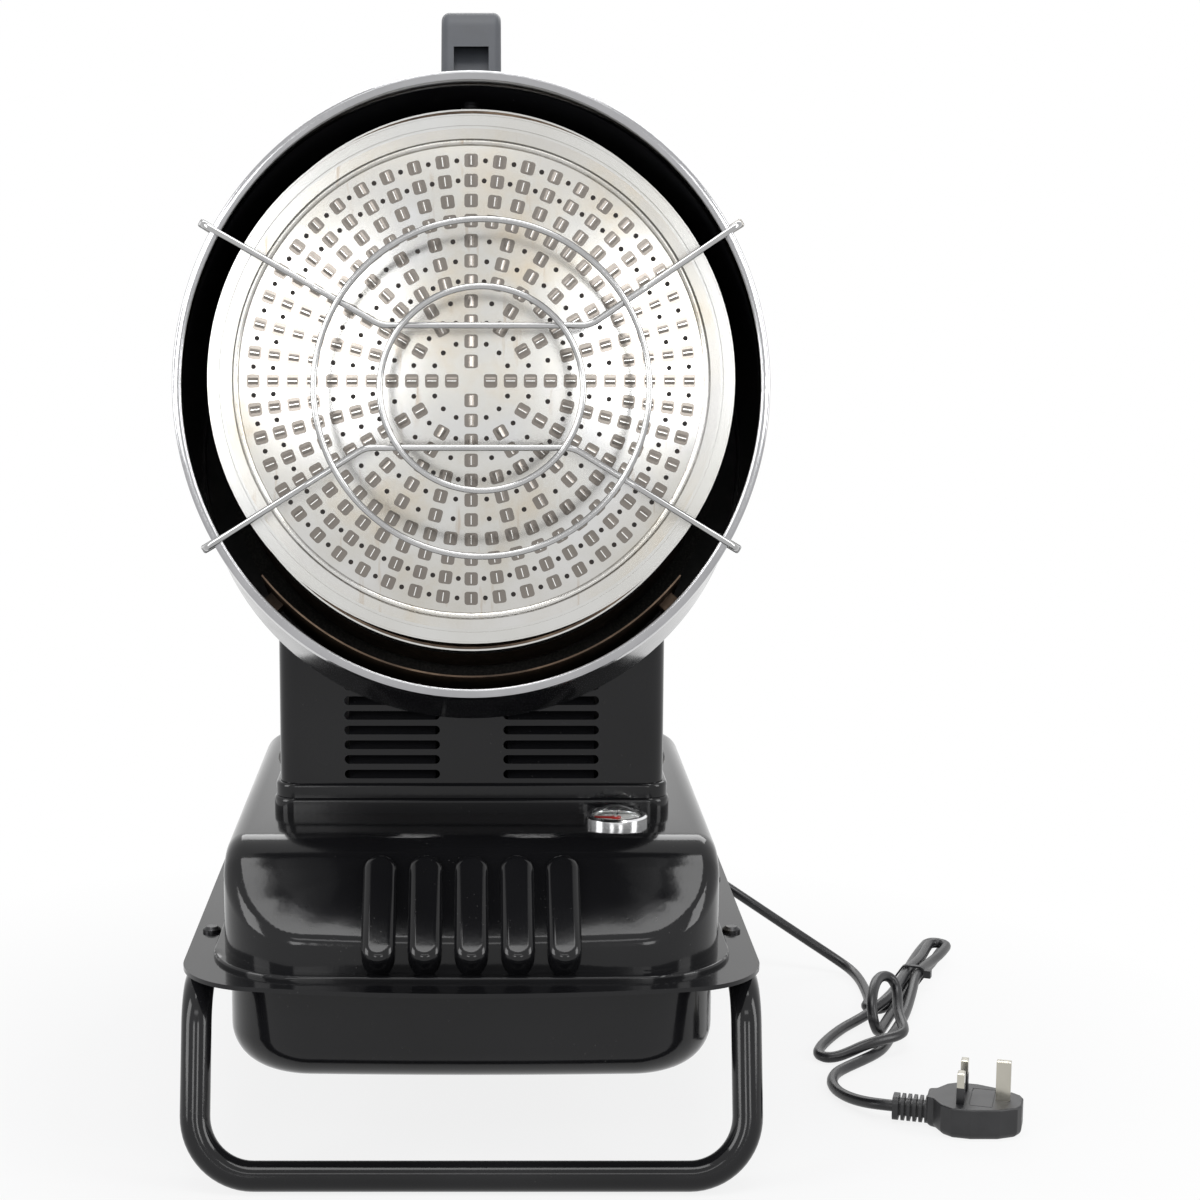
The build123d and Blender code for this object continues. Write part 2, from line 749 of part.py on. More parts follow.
lens_inner = lens_r - lens_wall
skirt = gauge_height - 1
with BuildPart() as gauge_lens:
    with BuildSketch(half_section(gauge)):
        with BuildLine():
            Polyline((lens_inner, skirt), (lens_inner, dial_z), (lens_r, dial_z), (lens_r, skirt))
            ThreePointArc((lens_r, skirt),
                          (lens_r / 2, skirt + dome_height(lens_r / 2, lens_r, lens_dome)),
                          (0, skirt + lens_dome))
            Line((0, skirt + lens_dome), (0, skirt + lens_dome - lens_wall))
            ThreePointArc((0, skirt + lens_dome - lens_wall),
                          (lens_inner / 2,
                           skirt + dome_height(lens_inner / 2, lens_inner, lens_dome - lens_wall)),
                          (lens_inner, skirt))
        make_face()
    revolve(axis=axis_of(gauge))
finish(gauge_lens, "gauge_lens")

droop = radians(float_droop)
float_hinge = Plane(origin=(gauge_x, gauge_y, float_hinge_z), x_dir=(-cos(droop), 0, -sin(droop)),
                    z_dir=(0, 1, 0))
with BuildPart() as gauge_float:
    with BuildSketch(float_hinge.offset(-float_eye_width / 2)):
        Circle(float_eye_r)
    extrude(amount=float_eye_width)
    with BuildSketch(Plane(origin=float_hinge.origin, z_dir=float_hinge.x_dir)):
        Circle(float_wire_r)
    extrude(amount=float_arm)
    with BuildSketch(moved(float_hinge, x=float_arm, z=-float_length / 2)):
        Circle(float_r)
    extrude(amount=float_length)
    with BuildSketch(float_hinge.offset(-float_eye_width)):
        Circle(float_wire_r + shaft_gap)
    extrude(amount=2 * float_eye_width, mode=Mode.SUBTRACT)
finish(gauge_float, "gauge_float")

# Burner housing with pressed louvres in its front
front_wall = Plane(origin=(0, housing_front_y, 0), x_dir=(1, 0, 0), z_dir=(0, -1, 0))
rear_wall = Plane(origin=(0, housing_rear_y, 0), x_dir=(-1, 0, 0), z_dir=(0, 1, 0))
louvre_middle = housing_wall_base + louvre_first + louvre_pitch * (louvre_rows - 1) / 2
panel_half_width = housing_half_width - panel_margin
panel_bottom = housing_wall_base + 2
panel_top = housing_top - panel_margin
panel_middle = (panel_bottom + panel_top) / 2
panel_screw_x = panel_half_width - panel_margin / 2
panel_screw_pitch = (panel_top - panel_bottom) / 2 - panel_margin
screw_z = housing_wall_base + panel_margin
with BuildPart() as housing_shell:
    with BuildSketch(level(platform_top, y=housing_middle_y)):
        RectangleRounded(2 * (housing_half_width + housing_foot_flare),
                         housing_depth + 2 * housing_foot_flare, housing_corner + housing_foot_flare)
    extrude(amount=housing_foot)
    fillet(housing_shell.faces().sort_by(Axis.Z)[-1].edges(), housing_foot_flare - 0.5)
    with BuildSketch(level(housing_wall_base - housing_foot, y=housing_middle_y)):
        RectangleRounded(2 * housing_half_width, housing_depth, housing_corner)
    extrude(amount=housing_height + housing_foot)
    with BuildSketch(level(platform_top, y=housing_middle_y)):
        RectangleRounded(2 * (housing_half_width - housing_sheet), housing_depth - 2 * housing_sheet,
                         housing_corner - housing_sheet)
    extrude(amount=housing_height + housing_foot, mode=Mode.SUBTRACT)
    with BuildSketch(front_wall):
        with Locations((0, louvre_middle)):
            with GridLocations(2 * louvre_offset, louvre_pitch, 2, louvre_rows):
                SlotOverall(louvre_length, louvre_height)
    extrude(amount=2 * housing_sheet, both=True, mode=Mode.SUBTRACT)
    blade_angle = radians(louvre_blade_angle)
    inside_y = housing_front_y + housing_sheet
    blade_z = louvre_middle - louvre_height / 2
    for side in (-1, 1):
        with BuildSketch(Plane.YZ.offset(side * louvre_offset - louvre_length / 2 + louvre_height / 2)):
            with Locations((inside_y, blade_z)):
                with GridLocations(1, louvre_pitch, 1, louvre_rows):
                    Polygon((-housing_sheet / 2, 0), (-housing_sheet / 2, -housing_sheet),
                            (louvre_blade * cos(blade_angle),
                             louvre_blade * sin(blade_angle) - housing_sheet),
                            (louvre_blade * cos(blade_angle), louvre_blade * sin(blade_angle)),
                            align=None)
        extrude(amount=louvre_length - louvre_height)
    with BuildSketch(rear_wall):
        with Locations((0, panel_middle)):
            Rectangle(2 * (panel_half_width - panel_margin), panel_top - panel_bottom - 2 * panel_margin)
            with GridLocations(2 * panel_screw_x, panel_screw_pitch, 2, 3):
                Circle(housing_screw_r)
    extrude(amount=2 * housing_sheet, both=True, mode=Mode.SUBTRACT)
    with BuildSketch(head.offset(-drum_length - neck_straight)):
        Circle(neck_r + fit_gap)
    extrude(amount=neck_straight, mode=Mode.SUBTRACT)
    for screw_y in housing_screw_y:
        with Locations((0, screw_y, screw_z)):
            Cylinder(housing_screw_r, 3 * housing_half_width, rotation=(0, 90, 0), mode=Mode.SUBTRACT)
finish(housing_shell, "housing_shell")

with BuildPart() as housing_cover:
    with BuildSketch(level(housing_top - cover_skirt, y=housing_middle_y)):
        RectangleRounded(2 * (housing_half_width + fit_gap + housing_sheet),
                         housing_depth + 2 * (fit_gap + housing_sheet),
                         housing_corner + fit_gap + housing_sheet)
    extrude(amount=cover_skirt + housing_sheet)
    fillet(housing_cover.faces().sort_by(Axis.Z)[-1].edges(), housing_sheet)
    with BuildSketch(level(housing_top - cover_skirt, y=housing_middle_y)):
        RectangleRounded(2 * (housing_half_width + fit_gap), housing_depth + 2 * fit_gap,
                         housing_corner + fit_gap)
    extrude(amount=cover_skirt, mode=Mode.SUBTRACT)
finish(housing_cover, "housing_cover")

# Rear panel with the air inlet, and the openings for switch, thermostat and lead
panel_face = housing_rear_y + sheet
with BuildPart() as rear_panel:
    with BuildSketch(rear_wall):
        with Locations((0, panel_middle)):
            RectangleRounded(2 * panel_half_width, panel_top - panel_bottom, housing_corner)
        with Locations((0, grille_z)):
            with GridLocations(2 * grille_half_width / grille_columns, grille_pitch, grille_columns,
                               grille_rows):
                SlotOverall(grille_slot, grille_slot_height, mode=Mode.SUBTRACT)
        with Locations((-switch_x, switch_z)):
            Rectangle(2 * (switch_half_width - rocker_wall), 2 * (switch_half_height - rocker_wall),
                      mode=Mode.SUBTRACT)
        with Locations((-knob_x, switch_z)):
            Circle(knob_spindle_r + fit_gap, mode=Mode.SUBTRACT)
        with Locations((-gland_x, gland_z)):
            Circle(gland_body_r + fit_gap, mode=Mode.SUBTRACT)
        with Locations((0, panel_middle)):
            with GridLocations(2 * panel_screw_x, panel_screw_pitch, 2, 3):
                Circle(housing_screw_r, mode=Mode.SUBTRACT)
    extrude(amount=sheet)
finish(rear_panel, "rear_panel")

with BuildPart() as housing_screws:
    screw_profile = [(0, -6), (housing_screw_r, -6), (housing_screw_r, 0), (housing_screw_head_r, 0),
                     (housing_screw_head_r, housing_screw_head / 2),
                     (housing_screw_head_r / 2, housing_screw_head), (0, housing_screw_head)]
    for side in (-1, 1):
        for screw_y in housing_screw_y:
            add(turned(Plane(origin=(side * housing_half_width, screw_y, screw_z),
                             z_dir=(side, 0, 0)), screw_profile))
        for row in (-1, 0, 1):
            add(turned(Plane(origin=(side * panel_screw_x, panel_face,
                                     panel_middle + row * panel_screw_pitch), z_dir=(0, 1, 0)),
                       screw_profile))
finish(housing_screws, "housing_screws")

# Switch, thermostat and gland on the rear panel
switch = Plane(origin=(switch_x, panel_face, switch_z), x_dir=(-1, 0, 0), z_dir=(0, 1, 0))
pocket_half_width = rocker_half_width + fit_gap
pocket_half_height = sqrt(rocker_half_height ** 2 + rocker_reach ** 2) + fit_gap
with BuildPart() as switch_bezel:
    with BuildSketch(switch):
        RectangleRounded(2 * (switch_half_width + 1), 2 * (switch_half_height + 1), 2)
    extrude(amount=switch_bezel_height)
    fillet(switch_bezel.faces().sort_by(Axis.Y)[-1].edges(), 1)
    with BuildSketch(switch.offset(-switch_depth)):
        Rectangle(2 * (switch_half_width - rocker_wall - fit_gap),
                  2 * (switch_half_height - rocker_wall - fit_gap))
    extrude(amount=switch_depth)
    with BuildSketch(switch.offset(rocker_wall - switch_depth)):
        Rectangle(2 * pocket_half_width, 2 * pocket_half_height)
    extrude(amount=switch_depth + switch_bezel_height, mode=Mode.SUBTRACT)
    with Locations(moved(switch, z=switch_bezel_height - rocker_reach)):
        Cylinder(rocker_pivot_r + shaft_gap, 2 * (pocket_half_width + rocker_wall / 2),
                 rotation=(0, 90, 0), mode=Mode.SUBTRACT)
finish(switch_bezel, "switch_bezel")

rocker_pivot = Plane(origin=moved(switch, z=switch_bezel_height - rocker_reach).origin,
                     x_dir=(0, sin(radians(rocker_tilt)), cos(radians(rocker_tilt))),
                     z_dir=(1, 0, 0))
with BuildPart() as power_rocker:
    with BuildSketch(rocker_pivot.offset(-rocker_half_width)):
        with BuildLine():
            Polyline((-rocker_half_height, rocker_pivot_r + 1), (rocker_half_height, rocker_pivot_r + 1),
                     (rocker_half_height, -rocker_reach), (0, 1 - rocker_reach),
                     (-rocker_half_height, -rocker_reach), close=True)
        make_face()
    extrude(amount=2 * rocker_half_width)
    with BuildSketch(rocker_pivot.offset(-pocket_half_width - rocker_wall / 3)):
        Circle(rocker_pivot_r)
    extrude(amount=2 * (pocket_half_width + rocker_wall / 3))
finish(power_rocker, "power_rocker")

knob_seat = Plane(origin=(knob_x, panel_face, switch_z), x_dir=(-1, 0, 0), z_dir=(0, 1, 0))
with BuildPart() as thermostat:
    with BuildSketch(knob_seat.offset(-sheet - thermostat_depth)):
        RectangleRounded(thermostat_size, thermostat_size, 2)
    extrude(amount=thermostat_depth)
    with BuildSketch(knob_seat.offset(-sheet)):
        Circle(knob_spindle_r)
    extrude(amount=sheet + knob_height - 2)
finish(thermostat, "thermostat")

with BuildPart() as thermostat_knob:
    add(turned(knob_seat, [(knob_spindle_r + shaft_gap, knob_lift), (knob_r, knob_lift),
                           (knob_r, knob_lift + 3), (knob_r - knob_taper, knob_lift + knob_height - 1),
                           (knob_r - knob_taper - 1, knob_lift + knob_height),
                           (0, knob_lift + knob_height), (0, knob_height - 1),
                           (knob_spindle_r + shaft_gap, knob_height - 1)]))
    with BuildSketch(knob_seat.offset(knob_lift + 3)):
        with PolarLocations(knob_r + 1, cap_grips):
            Circle(grip_r)
    extrude(amount=knob_height, mode=Mode.SUBTRACT)
    with BuildSketch(knob_seat.offset(knob_lift + knob_height - 1)):
        with Locations((0, knob_r / 2)):
            Rectangle(2, knob_r - knob_taper - 1)
    extrude(amount=2)
finish(thermostat_knob, "thermostat_knob")

gland = Plane(origin=(gland_x, panel_face, gland_z), x_dir=(-1, 0, 0), z_dir=(0, 1, 0))
with BuildPart() as cord_gland:
    add(turned(gland, [(cord_r, -gland_inner), (gland_body_r, -gland_inner), (gland_body_r, 0),
                       (gland_flange_r, 0), (gland_flange_r, gland_flange - 1),
                       (gland_flange_r - 1, gland_flange), (gland_body_r - 0.5, gland_flange),
                       (gland_tip_r, gland_length - gland_inner), (cord_r, gland_length - gland_inner)]))
finish(cord_gland, "cord_gland")

# Fuel pump, filter and pipes, transformer and control board inside the housing
pump = level(platform_top, pump_x, pump_y)
with BuildPart() as fuel_pump:
    with BuildSketch(pump):
        RectangleRounded(pump_size, pump_size, 4)
    extrude(amount=pump_height)
    with BuildSketch(pump.offset(pump_height)):
        Circle(pump_head_r)
    extrude(amount=pump_head)
    fillet(fuel_pump.faces().sort_by(Axis.Z)[-1].edges(), 2)
finish(fuel_pump, "fuel_pump")

with BuildPart() as fuel_filter:
    top = pump_height + pump_head
    add(turned(pump, [(0, top), (filter_r * 0.6, top), (filter_r, top + 4),
                      (filter_r, top + filter_height - 4), (filter_r * 0.6, top + filter_height),
                      (0, top + filter_height)]))
finish(fuel_filter, "fuel_filter")

with BuildPart() as pickup_pipe:
    pickup_end = tank_bottom + sheet + pickup_clear - platform_top
    add(turned(pump, [(0, pickup_end), (2 * pickup_r, pickup_end), (2 * pickup_r, pickup_end + 14),
                      (pickup_r, pickup_end + 16), (pickup_r, 0), (0, 0)]))
finish(pickup_pipe, "pickup_pipe")

nozzle_rear = head.offset(-nozzle_s - nozzle_length)
pipe_turn = head.offset(-nozzle_s - nozzle_length - pipe_bend * 2).origin
pipe_top = platform_top + pump_height + pump_head + filter_height
with BuildLine(mode=Mode.PRIVATE) as pipe_route:
    FilletPolyline(nozzle_rear.origin, pipe_turn, (pipe_side_x, pipe_turn.Y, pipe_turn.Z),
                   (pump_x, pump_y, pipe_top + 2 * pipe_bend), (pump_x, pump_y, pipe_top),
                   radius=pipe_bend)
with BuildPart() as fuel_pipe:
    with BuildSketch(Plane(origin=pipe_route.line @ 0, z_dir=pipe_route.line % 0)):
        Circle(pipe_r)
    sweep(path=pipe_route.line)
finish(fuel_pipe, "fuel_pipe")

with BuildPart() as ignition_transformer:
    with BuildSketch(level(platform_top, transformer_x, transformer_y)):
        RectangleRounded(transformer_width, transformer_depth, 3)
    extrude(amount=transformer_height)
    fillet(ignition_transformer.faces().sort_by(Axis.Z)[-1].edges(), 2)
    with BuildSketch(level(platform_top + transformer_height, transformer_x, transformer_y)):
        with GridLocations(transformer_width / 2, 1, 2, 1):
            Circle(standoff_r * 1.5)
    extrude(amount=standoff * 1.5)
finish(ignition_transformer, "ignition_transformer")

board_face = Plane(origin=(housing_half_width - housing_sheet, housing_middle_y, grille_z),
                   x_dir=(0, 1, 0), z_dir=(-1, 0, 0))
with BuildPart() as control_board:
    with BuildSketch(board_face.offset(standoff)):
        Rectangle(board_length, board_height)
    extrude(amount=board_sheet)
    with BuildSketch(board_face):
        with GridLocations(board_length - 4 * standoff_r, board_height - 4 * standoff_r, 2, 2):
            Circle(standoff_r)
    extrude(amount=standoff)
    with BuildSketch(board_face.offset(standoff + board_sheet)):
        with GridLocations(board_length / 4, board_height / 2, 3, 2):
            Rectangle(standoff * 2, standoff * 1.5)
    extrude(amount=standoff)
finish(control_board, "control_board")

# Drum, cut square at the back and nearly upright at the mouth
with BuildPart() as drum_shell:
    with BuildSketch(head.offset(-drum_length)):
        Circle(drum_r)
        Circle(drum_r - drum_sheet, mode=Mode.SUBTRACT)
    extrude(amount=drum_length + reach)
    split(bisect_by=behind_mouth(rim_cover), keep=Keep.BOTTOM)
    for leg in handle_legs:
        with Locations(moved(head, y=drum_r, z=leg)):
            Cylinder(screw_r + fit_gap, drum_sheet * 8, rotation=(90, 0, 0), mode=Mode.SUBTRACT)
finish(drum_shell, "drum_shell")


def mouth_band(inner, outer, near, far):
    """Band along the drum's axis between two planes behind the mouth."""
    with BuildPart(mode=Mode.PRIVATE) as band:
        with BuildSketch(head.offset(-reach - far)):
            Circle(outer)
            if inner > 0:
                Circle(inner, mode=Mode.SUBTRACT)
        extrude(amount=2 * reach + 2 * far)
        split(bisect_by=behind_mouth(near), keep=Keep.BOTTOM)
        split(bisect_by=behind_mouth(far), keep=Keep.TOP)
    return band.part


# Bright rim that grips the drum's edge
rim_body = mouth_band(drum_r - rim_wall, drum_r + rim_reach, 0, rim_depth)
rim_groove = mouth_band(drum_r - drum_sheet - rim_gap, drum_r + rim_gap, rim_cover, 2 * rim_depth)
with BuildPart() as drum_rim:
    add(rim_body)
    front = drum_rim.faces().filter_by(Axis(mouth.origin, mouth.z_dir)).sort_by(Axis.Y)[0]
    fillet(front.edges(), rim_round)
    add(rim_groove, mode=Mode.SUBTRACT)
finish(drum_rim, "drum_rim")

with BuildPart() as drum_back:
    back_r = drum_r - drum_sheet - 0.1
    add(turned(head, [(neck_r + fit_gap, -drum_length), (back_r, -drum_length),
                      (back_r, back_lip - drum_length), (back_r - drum_sheet, back_lip - drum_length),
                      (back_r - drum_sheet, drum_sheet - drum_length),
                      (neck_r + fit_gap, drum_sheet - drum_length)]))
    with BuildSketch(head.offset(-drum_length)):
        with PolarLocations(back_slot_r, back_slots):
            SlotOverall(back_slot_length, back_slot_width)
    extrude(amount=2 * drum_sheet, mode=Mode.SUBTRACT)
finish(drum_back, "drum_back")

# Air duct from the fan to the drum
duct_r = fan_r + fan_gap + neck_sheet
duct_front = drum_length - back_lip
duct_flare = drum_length + neck_straight
duct_rear = fan_s + fan_width / 2 + fan_gap
with BuildPart() as air_duct:
    add(turned(head, [(neck_r - neck_sheet, -duct_front), (neck_r, -duct_front),
                      (neck_r, -duct_flare), (duct_r, -duct_flare - neck_flare), (duct_r, -duct_rear),
                      (duct_r - neck_sheet, -duct_rear),
                      (duct_r - neck_sheet, -duct_flare - neck_flare),
                      (neck_r - neck_sheet, -duct_flare)]))
    with Locations((-duct_r, pipe_turn.Y, pipe_turn.Z)):
        Cylinder(pipe_r + fit_gap, duct_r, rotation=(0, 90, 0), mode=Mode.SUBTRACT)
    with Locations(head.offset(-sensor_s)):
        Cylinder(sensor_r + fit_gap, 2 * neck_r, rotation=(0, 90, 0),
                 align=(Align.CENTER, Align.CENTER, Align.MIN), mode=Mode.SUBTRACT)
finish(air_duct, "air_duct")

with BuildPart() as flame_sensor:
    with Locations(moved(head, x=neck_r - neck_sheet - sensor_inside, z=-sensor_s)):
        Cylinder(sensor_r, sensor_length, rotation=(0, 90, 0),
                 align=(Align.CENTER, Align.CENTER, Align.MIN))
    with Locations(moved(head, x=neck_r, z=-sensor_s)):
        Cylinder(sensor_r + 3, 2, rotation=(0, 90, 0), align=(Align.CENTER, Align.CENTER, Align.MIN))
finish(flame_sensor, "flame_sensor")

# Burner tube, air diffuser, nozzle and electrodes
with BuildPart() as burner_tube:
    collar_s = drum_length + neck_flare
    collar_r = neck_r - neck_sheet - 0.1
    add(turned(head, [(burner_r - burner_sheet, -burner_front), (burner_r, -burner_front),
                      (burner_r, -collar_s), (collar_r, -collar_s), (collar_r, -collar_s - burner_sheet),
                      (burner_r, -collar_s - burner_sheet), (burner_r, -burner_rear),
                      (burner_r - burner_sheet, -burner_rear)]))
finish(burner_tube, "burner_tube")

with BuildPart() as air_diffuser:
    add(turned(head, [(nozzle_r * 1.8, -diffuser_s), (burner_r - burner_sheet - 0.1, -diffuser_s),
                      (burner_r - burner_sheet - 0.1, -diffuser_s - burner_sheet),
                      (nozzle_r * 1.8, -diffuser_s - burner_sheet)]))
    with BuildSketch(head.offset(-diffuser_s - 2 * burner_sheet)):
        with PolarLocations(burner_r * 0.62, 8):
            SlotOverall(burner_r * 0.42, 3, rotation=25)
    extrude(amount=4 * burner_sheet, mode=Mode.SUBTRACT)
finish(air_diffuser, "air_diffuser")

holder_s = nozzle_s + nozzle_length / 2
with BuildPart() as fuel_nozzle:
    add(turned(head, [(0, -nozzle_s), (1.5, -nozzle_s), (nozzle_r * 0.7, -nozzle_s - 5),
                      (nozzle_r, -nozzle_s - 6), (nozzle_r, -nozzle_s - nozzle_length),
                      (0, -nozzle_s - nozzle_length)]))
finish(fuel_nozzle, "fuel_nozzle")

with BuildPart() as nozzle_holder:
    with BuildSketch(head.offset(-holder_s)):
        Circle(nozzle_r * 2)
        with PolarLocations((burner_r - burner_sheet) / 2, 3, start_angle=90):
            Rectangle(burner_r - burner_sheet - 0.6, nozzle_r)
        Circle(nozzle_r, mode=Mode.SUBTRACT)
        with PolarLocations(electrode_spread, 2, start_angle=60, angular_range=60, endpoint=True):
            Circle(electrode_r, mode=Mode.SUBTRACT)
    extrude(amount=2)
finish(nozzle_holder, "nozzle_holder")

with BuildPart() as ignition_electrodes:
    with BuildSketch(head.offset(-nozzle_s - nozzle_length)):
        with PolarLocations(electrode_spread, 2, start_angle=60, angular_range=60, endpoint=True):
            Circle(electrode_r)
    extrude(amount=nozzle_length - 4)
    with BuildSketch(head.offset(-nozzle_s - 4)):
        with PolarLocations(electrode_spread, 2, start_angle=60, angular_range=60, endpoint=True):
            Circle(electrode_r / 3)
    extrude(amount=8)
finish(ignition_electrodes, "ignition_electrodes")

# Fan on the motor's shaft
with BuildPart() as fan_wheel:
    with Locations(head.offset(-fan_s)):
        with PolarLocations((fan_hub_r + fan_r) / 2, fan_blades):
            Box(fan_r - fan_hub_r + fan_gap, fan_blade_sheet, fan_chord, rotation=(fan_pitch, 0, 0))
    with BuildSketch(head.offset(-fan_s - fan_width)):
        Circle(fan_r)
    extrude(amount=2 * fan_width, mode=Mode.INTERSECT)
    with BuildSketch(head.offset(-fan_s - fan_width / 2)):
        Circle(fan_hub_r)
    extrude(amount=fan_width)
    with BuildSketch(head.offset(-fan_s - fan_width)):
        Circle(shaft_r)
    extrude(amount=2 * fan_width, mode=Mode.SUBTRACT)
finish(fan_wheel, "fan_wheel")

motor_s = duct_rear + 2 * sheet
with BuildPart() as motor_shaft:
    with BuildSketch(head.offset(-motor_s - motor_length + motor_round)):
        Circle(shaft_r)
    extrude(amount=motor_s + motor_length - motor_round - fan_s + fan_width / 2)
finish(motor_shaft, "motor_shaft")

with BuildPart() as motor_mount:
    with BuildSketch(head.offset(-duct_rear - sheet)):
        Circle(duct_r + fan_gap)
        Circle(motor_r * 0.8, mode=Mode.SUBTRACT)
        with PolarLocations((motor_r + duct_r) / 2 + 1, 6):
            SlotOverall(duct_r * 0.36, duct_r - motor_r - 9, rotation=90, mode=Mode.SUBTRACT)
    extrude(amount=sheet)
finish(motor_mount, "motor_mount")

with BuildPart() as fan_motor:
    with BuildSketch(head.offset(-duct_rear - sheet - motor_length)):
        Circle(motor_r)
    extrude(amount=motor_length)
    fillet(fan_motor.faces().sort_by(Axis.Y)[-1].edges(), motor_round)
    with BuildSketch(head.offset(-duct_rear - sheet - motor_length + motor_round / 2)):
        Circle(shaft_r + shaft_gap)
    extrude(amount=motor_length, mode=Mode.SUBTRACT)
finish(fan_motor, "fan_motor")

# Combustion chamber with its bright collar, and the shield under it
chamber_front = face_recess + ring_step + face_sheet
with BuildPart() as combustion_chamber:
    with BuildSketch(chamber.offset(-chamber_length)):
        Circle(chamber_r)
    extrude(amount=chamber_length + reach)
    with BuildSketch(chamber.offset(chamber_sheet - chamber_length)):
        Circle(chamber_r - chamber_sheet)
    extrude(amount=chamber_length + reach, mode=Mode.SUBTRACT)
    with BuildSketch(head.offset(-drum_length)):
        Circle(burner_r + fit_gap)
    extrude(amount=drum_length / 2, mode=Mode.SUBTRACT)
    split(bisect_by=behind_mouth(chamber_front), keep=Keep.BOTTOM)
finish(combustion_chamber, "combustion_chamber")

with BuildPart() as chamber_collar:
    with BuildSketch(chamber.offset(-reach)):
        Circle(chamber_r + face_sheet + 0.1)
        Circle(chamber_r + 0.1, mode=Mode.SUBTRACT)
    extrude(amount=2 * reach)
    split(bisect_by=behind_mouth(chamber_front), keep=Keep.BOTTOM)
    split(bisect_by=behind_mouth(chamber_front + collar_length), keep=Keep.TOP)
finish(chamber_collar, "chamber_collar")

with BuildPart() as heat_shield:
    add(mouth_band(shield_r - face_sheet, shield_r, shield_front, shield_front + shield_length))
    wedge_x = 2 * drum_r * sin(radians(shield_spread))
    wedge_y = 2 * drum_r * cos(radians(shield_spread))
    with BuildSketch(head.offset(-drum_length)):
        with BuildLine():
            Polyline((0, 0), (-wedge_x, -wedge_y), (0, -3 * drum_r), (wedge_x, -wedge_y), close=True)
        make_face()
    extrude(amount=drum_length + reach, mode=Mode.INTERSECT)
    for side in (-1, 1):
        turn = radians(side * (shield_spread - 4))
        with Locations(moved(head, x=shield_r * sin(turn), y=-shield_r * cos(turn),
                             z=-drum_length / 2)):
            Box(shield_tab, 3 * (drum_r - shield_r), shield_tab, rotation=(0, 0, degrees(turn)))
    with BuildSketch(head.offset(-drum_length)):
        Circle(drum_r - drum_sheet)
        Circle(shield_r - face_sheet, mode=Mode.SUBTRACT)
    extrude(amount=drum_length + reach, mode=Mode.INTERSECT)
finish(heat_shield, "heat_shield")

# Reflector ring, and the radiating disc with its rings of pressed louvres
with BuildPart() as reflector_ring:
    add(turned(face, [(ring_inner_r, -ring_step), (ring_step_r, -ring_step), (ring_step_r, 0),
                      (ring_r - ring_edge, 0), (ring_r - ring_edge, ring_edge), (ring_r, ring_edge),
                      (ring_r, -face_sheet), (ring_step_r + face_sheet, -face_sheet),
                      (ring_step_r + face_sheet, -ring_step - face_sheet),
                      (ring_inner_r, -ring_step - face_sheet)]))
finish(reflector_ring, "reflector_ring")

disc = moved(face, z=face_sheet - ring_step)
with BuildPart() as cell:
    with BuildSketch(Plane.YZ.offset(-cell_size / 2)):
        half_root = cell_size / 2 * (cell_rise + cell_root) / cell_rise
        Polygon((-half_root, -cell_root), (half_root, -cell_root), (0, cell_rise), align=None)
    extrude(amount=cell_size)
cell_places = []
for ring, count in enumerate(louvre_ring_counts):
    radius = louvre_ring_first + ring * louvre_ring_pitch
    for step in range(count):
        turn = step * 360 / count
        place = (radius * cos(radians(turn)), radius * sin(radians(turn)),
                 dome_height(radius, disc_r, disc_dome))
        cell_places.append(disc.location * Location(place, (0, 0, turn)))
with BuildPart() as radiating_disc:
    with BuildSketch(half_section(disc)):
        with BuildLine():
            half = (disc_r / 2, dome_height(disc_r / 2, disc_r, disc_dome))
            ThreePointArc((0, disc_dome), half, (disc_r, 0))
            ThreePointArc((disc_r, 0), (bead_r, bead_half), (2 * bead_r - disc_r, 0))
            Polyline((2 * bead_r - disc_r, 0), (disc_flange_r, 0), (disc_flange_r, -face_sheet),
                     (disc_r, -face_sheet))
            ThreePointArc((disc_r, -face_sheet), (half[0], half[1] - face_sheet),
                          (0, disc_dome - face_sheet))
            Line((0, disc_dome - face_sheet), (0, disc_dome))
        make_face()
    revolve(axis=axis_of(disc))
    with Locations(*cell_places):
        add(cell.part)
finish(radiating_disc, "radiating_disc")

# Wire guard: two rings on two bent bars that hook over the rim
bar_level = guard_stand_off - 2 * wire_r + wire_weld


def guard_bar(side, shift):
    """Path of one bar, from hook to hook."""
    knee_left = Vector(shift - guard_knee, side * guard_bar_height, bar_level)
    knee_right = Vector(shift + guard_knee, side * guard_bar_height, bar_level)
    hook_left = Vector(-guard_hook_x, side * guard_hook_z, guard_hook_front)
    hook_right = Vector(guard_hook_x, side * guard_hook_z, guard_hook_front)
    flat_left = knee_left + (hook_left - knee_left) * guard_flat
    flat_right = knee_right + (hook_right - knee_right) * guard_flat
    stops = [Vector(hook_left.X, hook_left.Y, -guard_hook_back), hook_left,
             Vector(flat_left.X, flat_left.Y, bar_level), knee_left, knee_right,
             Vector(flat_right.X, flat_right.Y, bar_level), hook_right,
             Vector(hook_right.X, hook_right.Y, -guard_hook_back)]
    bends = [guard_hook_bend, guard_knee_bend, guard_knee_bend, guard_knee_bend, guard_knee_bend,
             guard_hook_bend]
    with BuildLine(mode=Mode.PRIVATE) as bar:
        FilletPolyline(*[mouth.from_local_coords(stop) for stop in stops], radius=bends)
    return bar.line


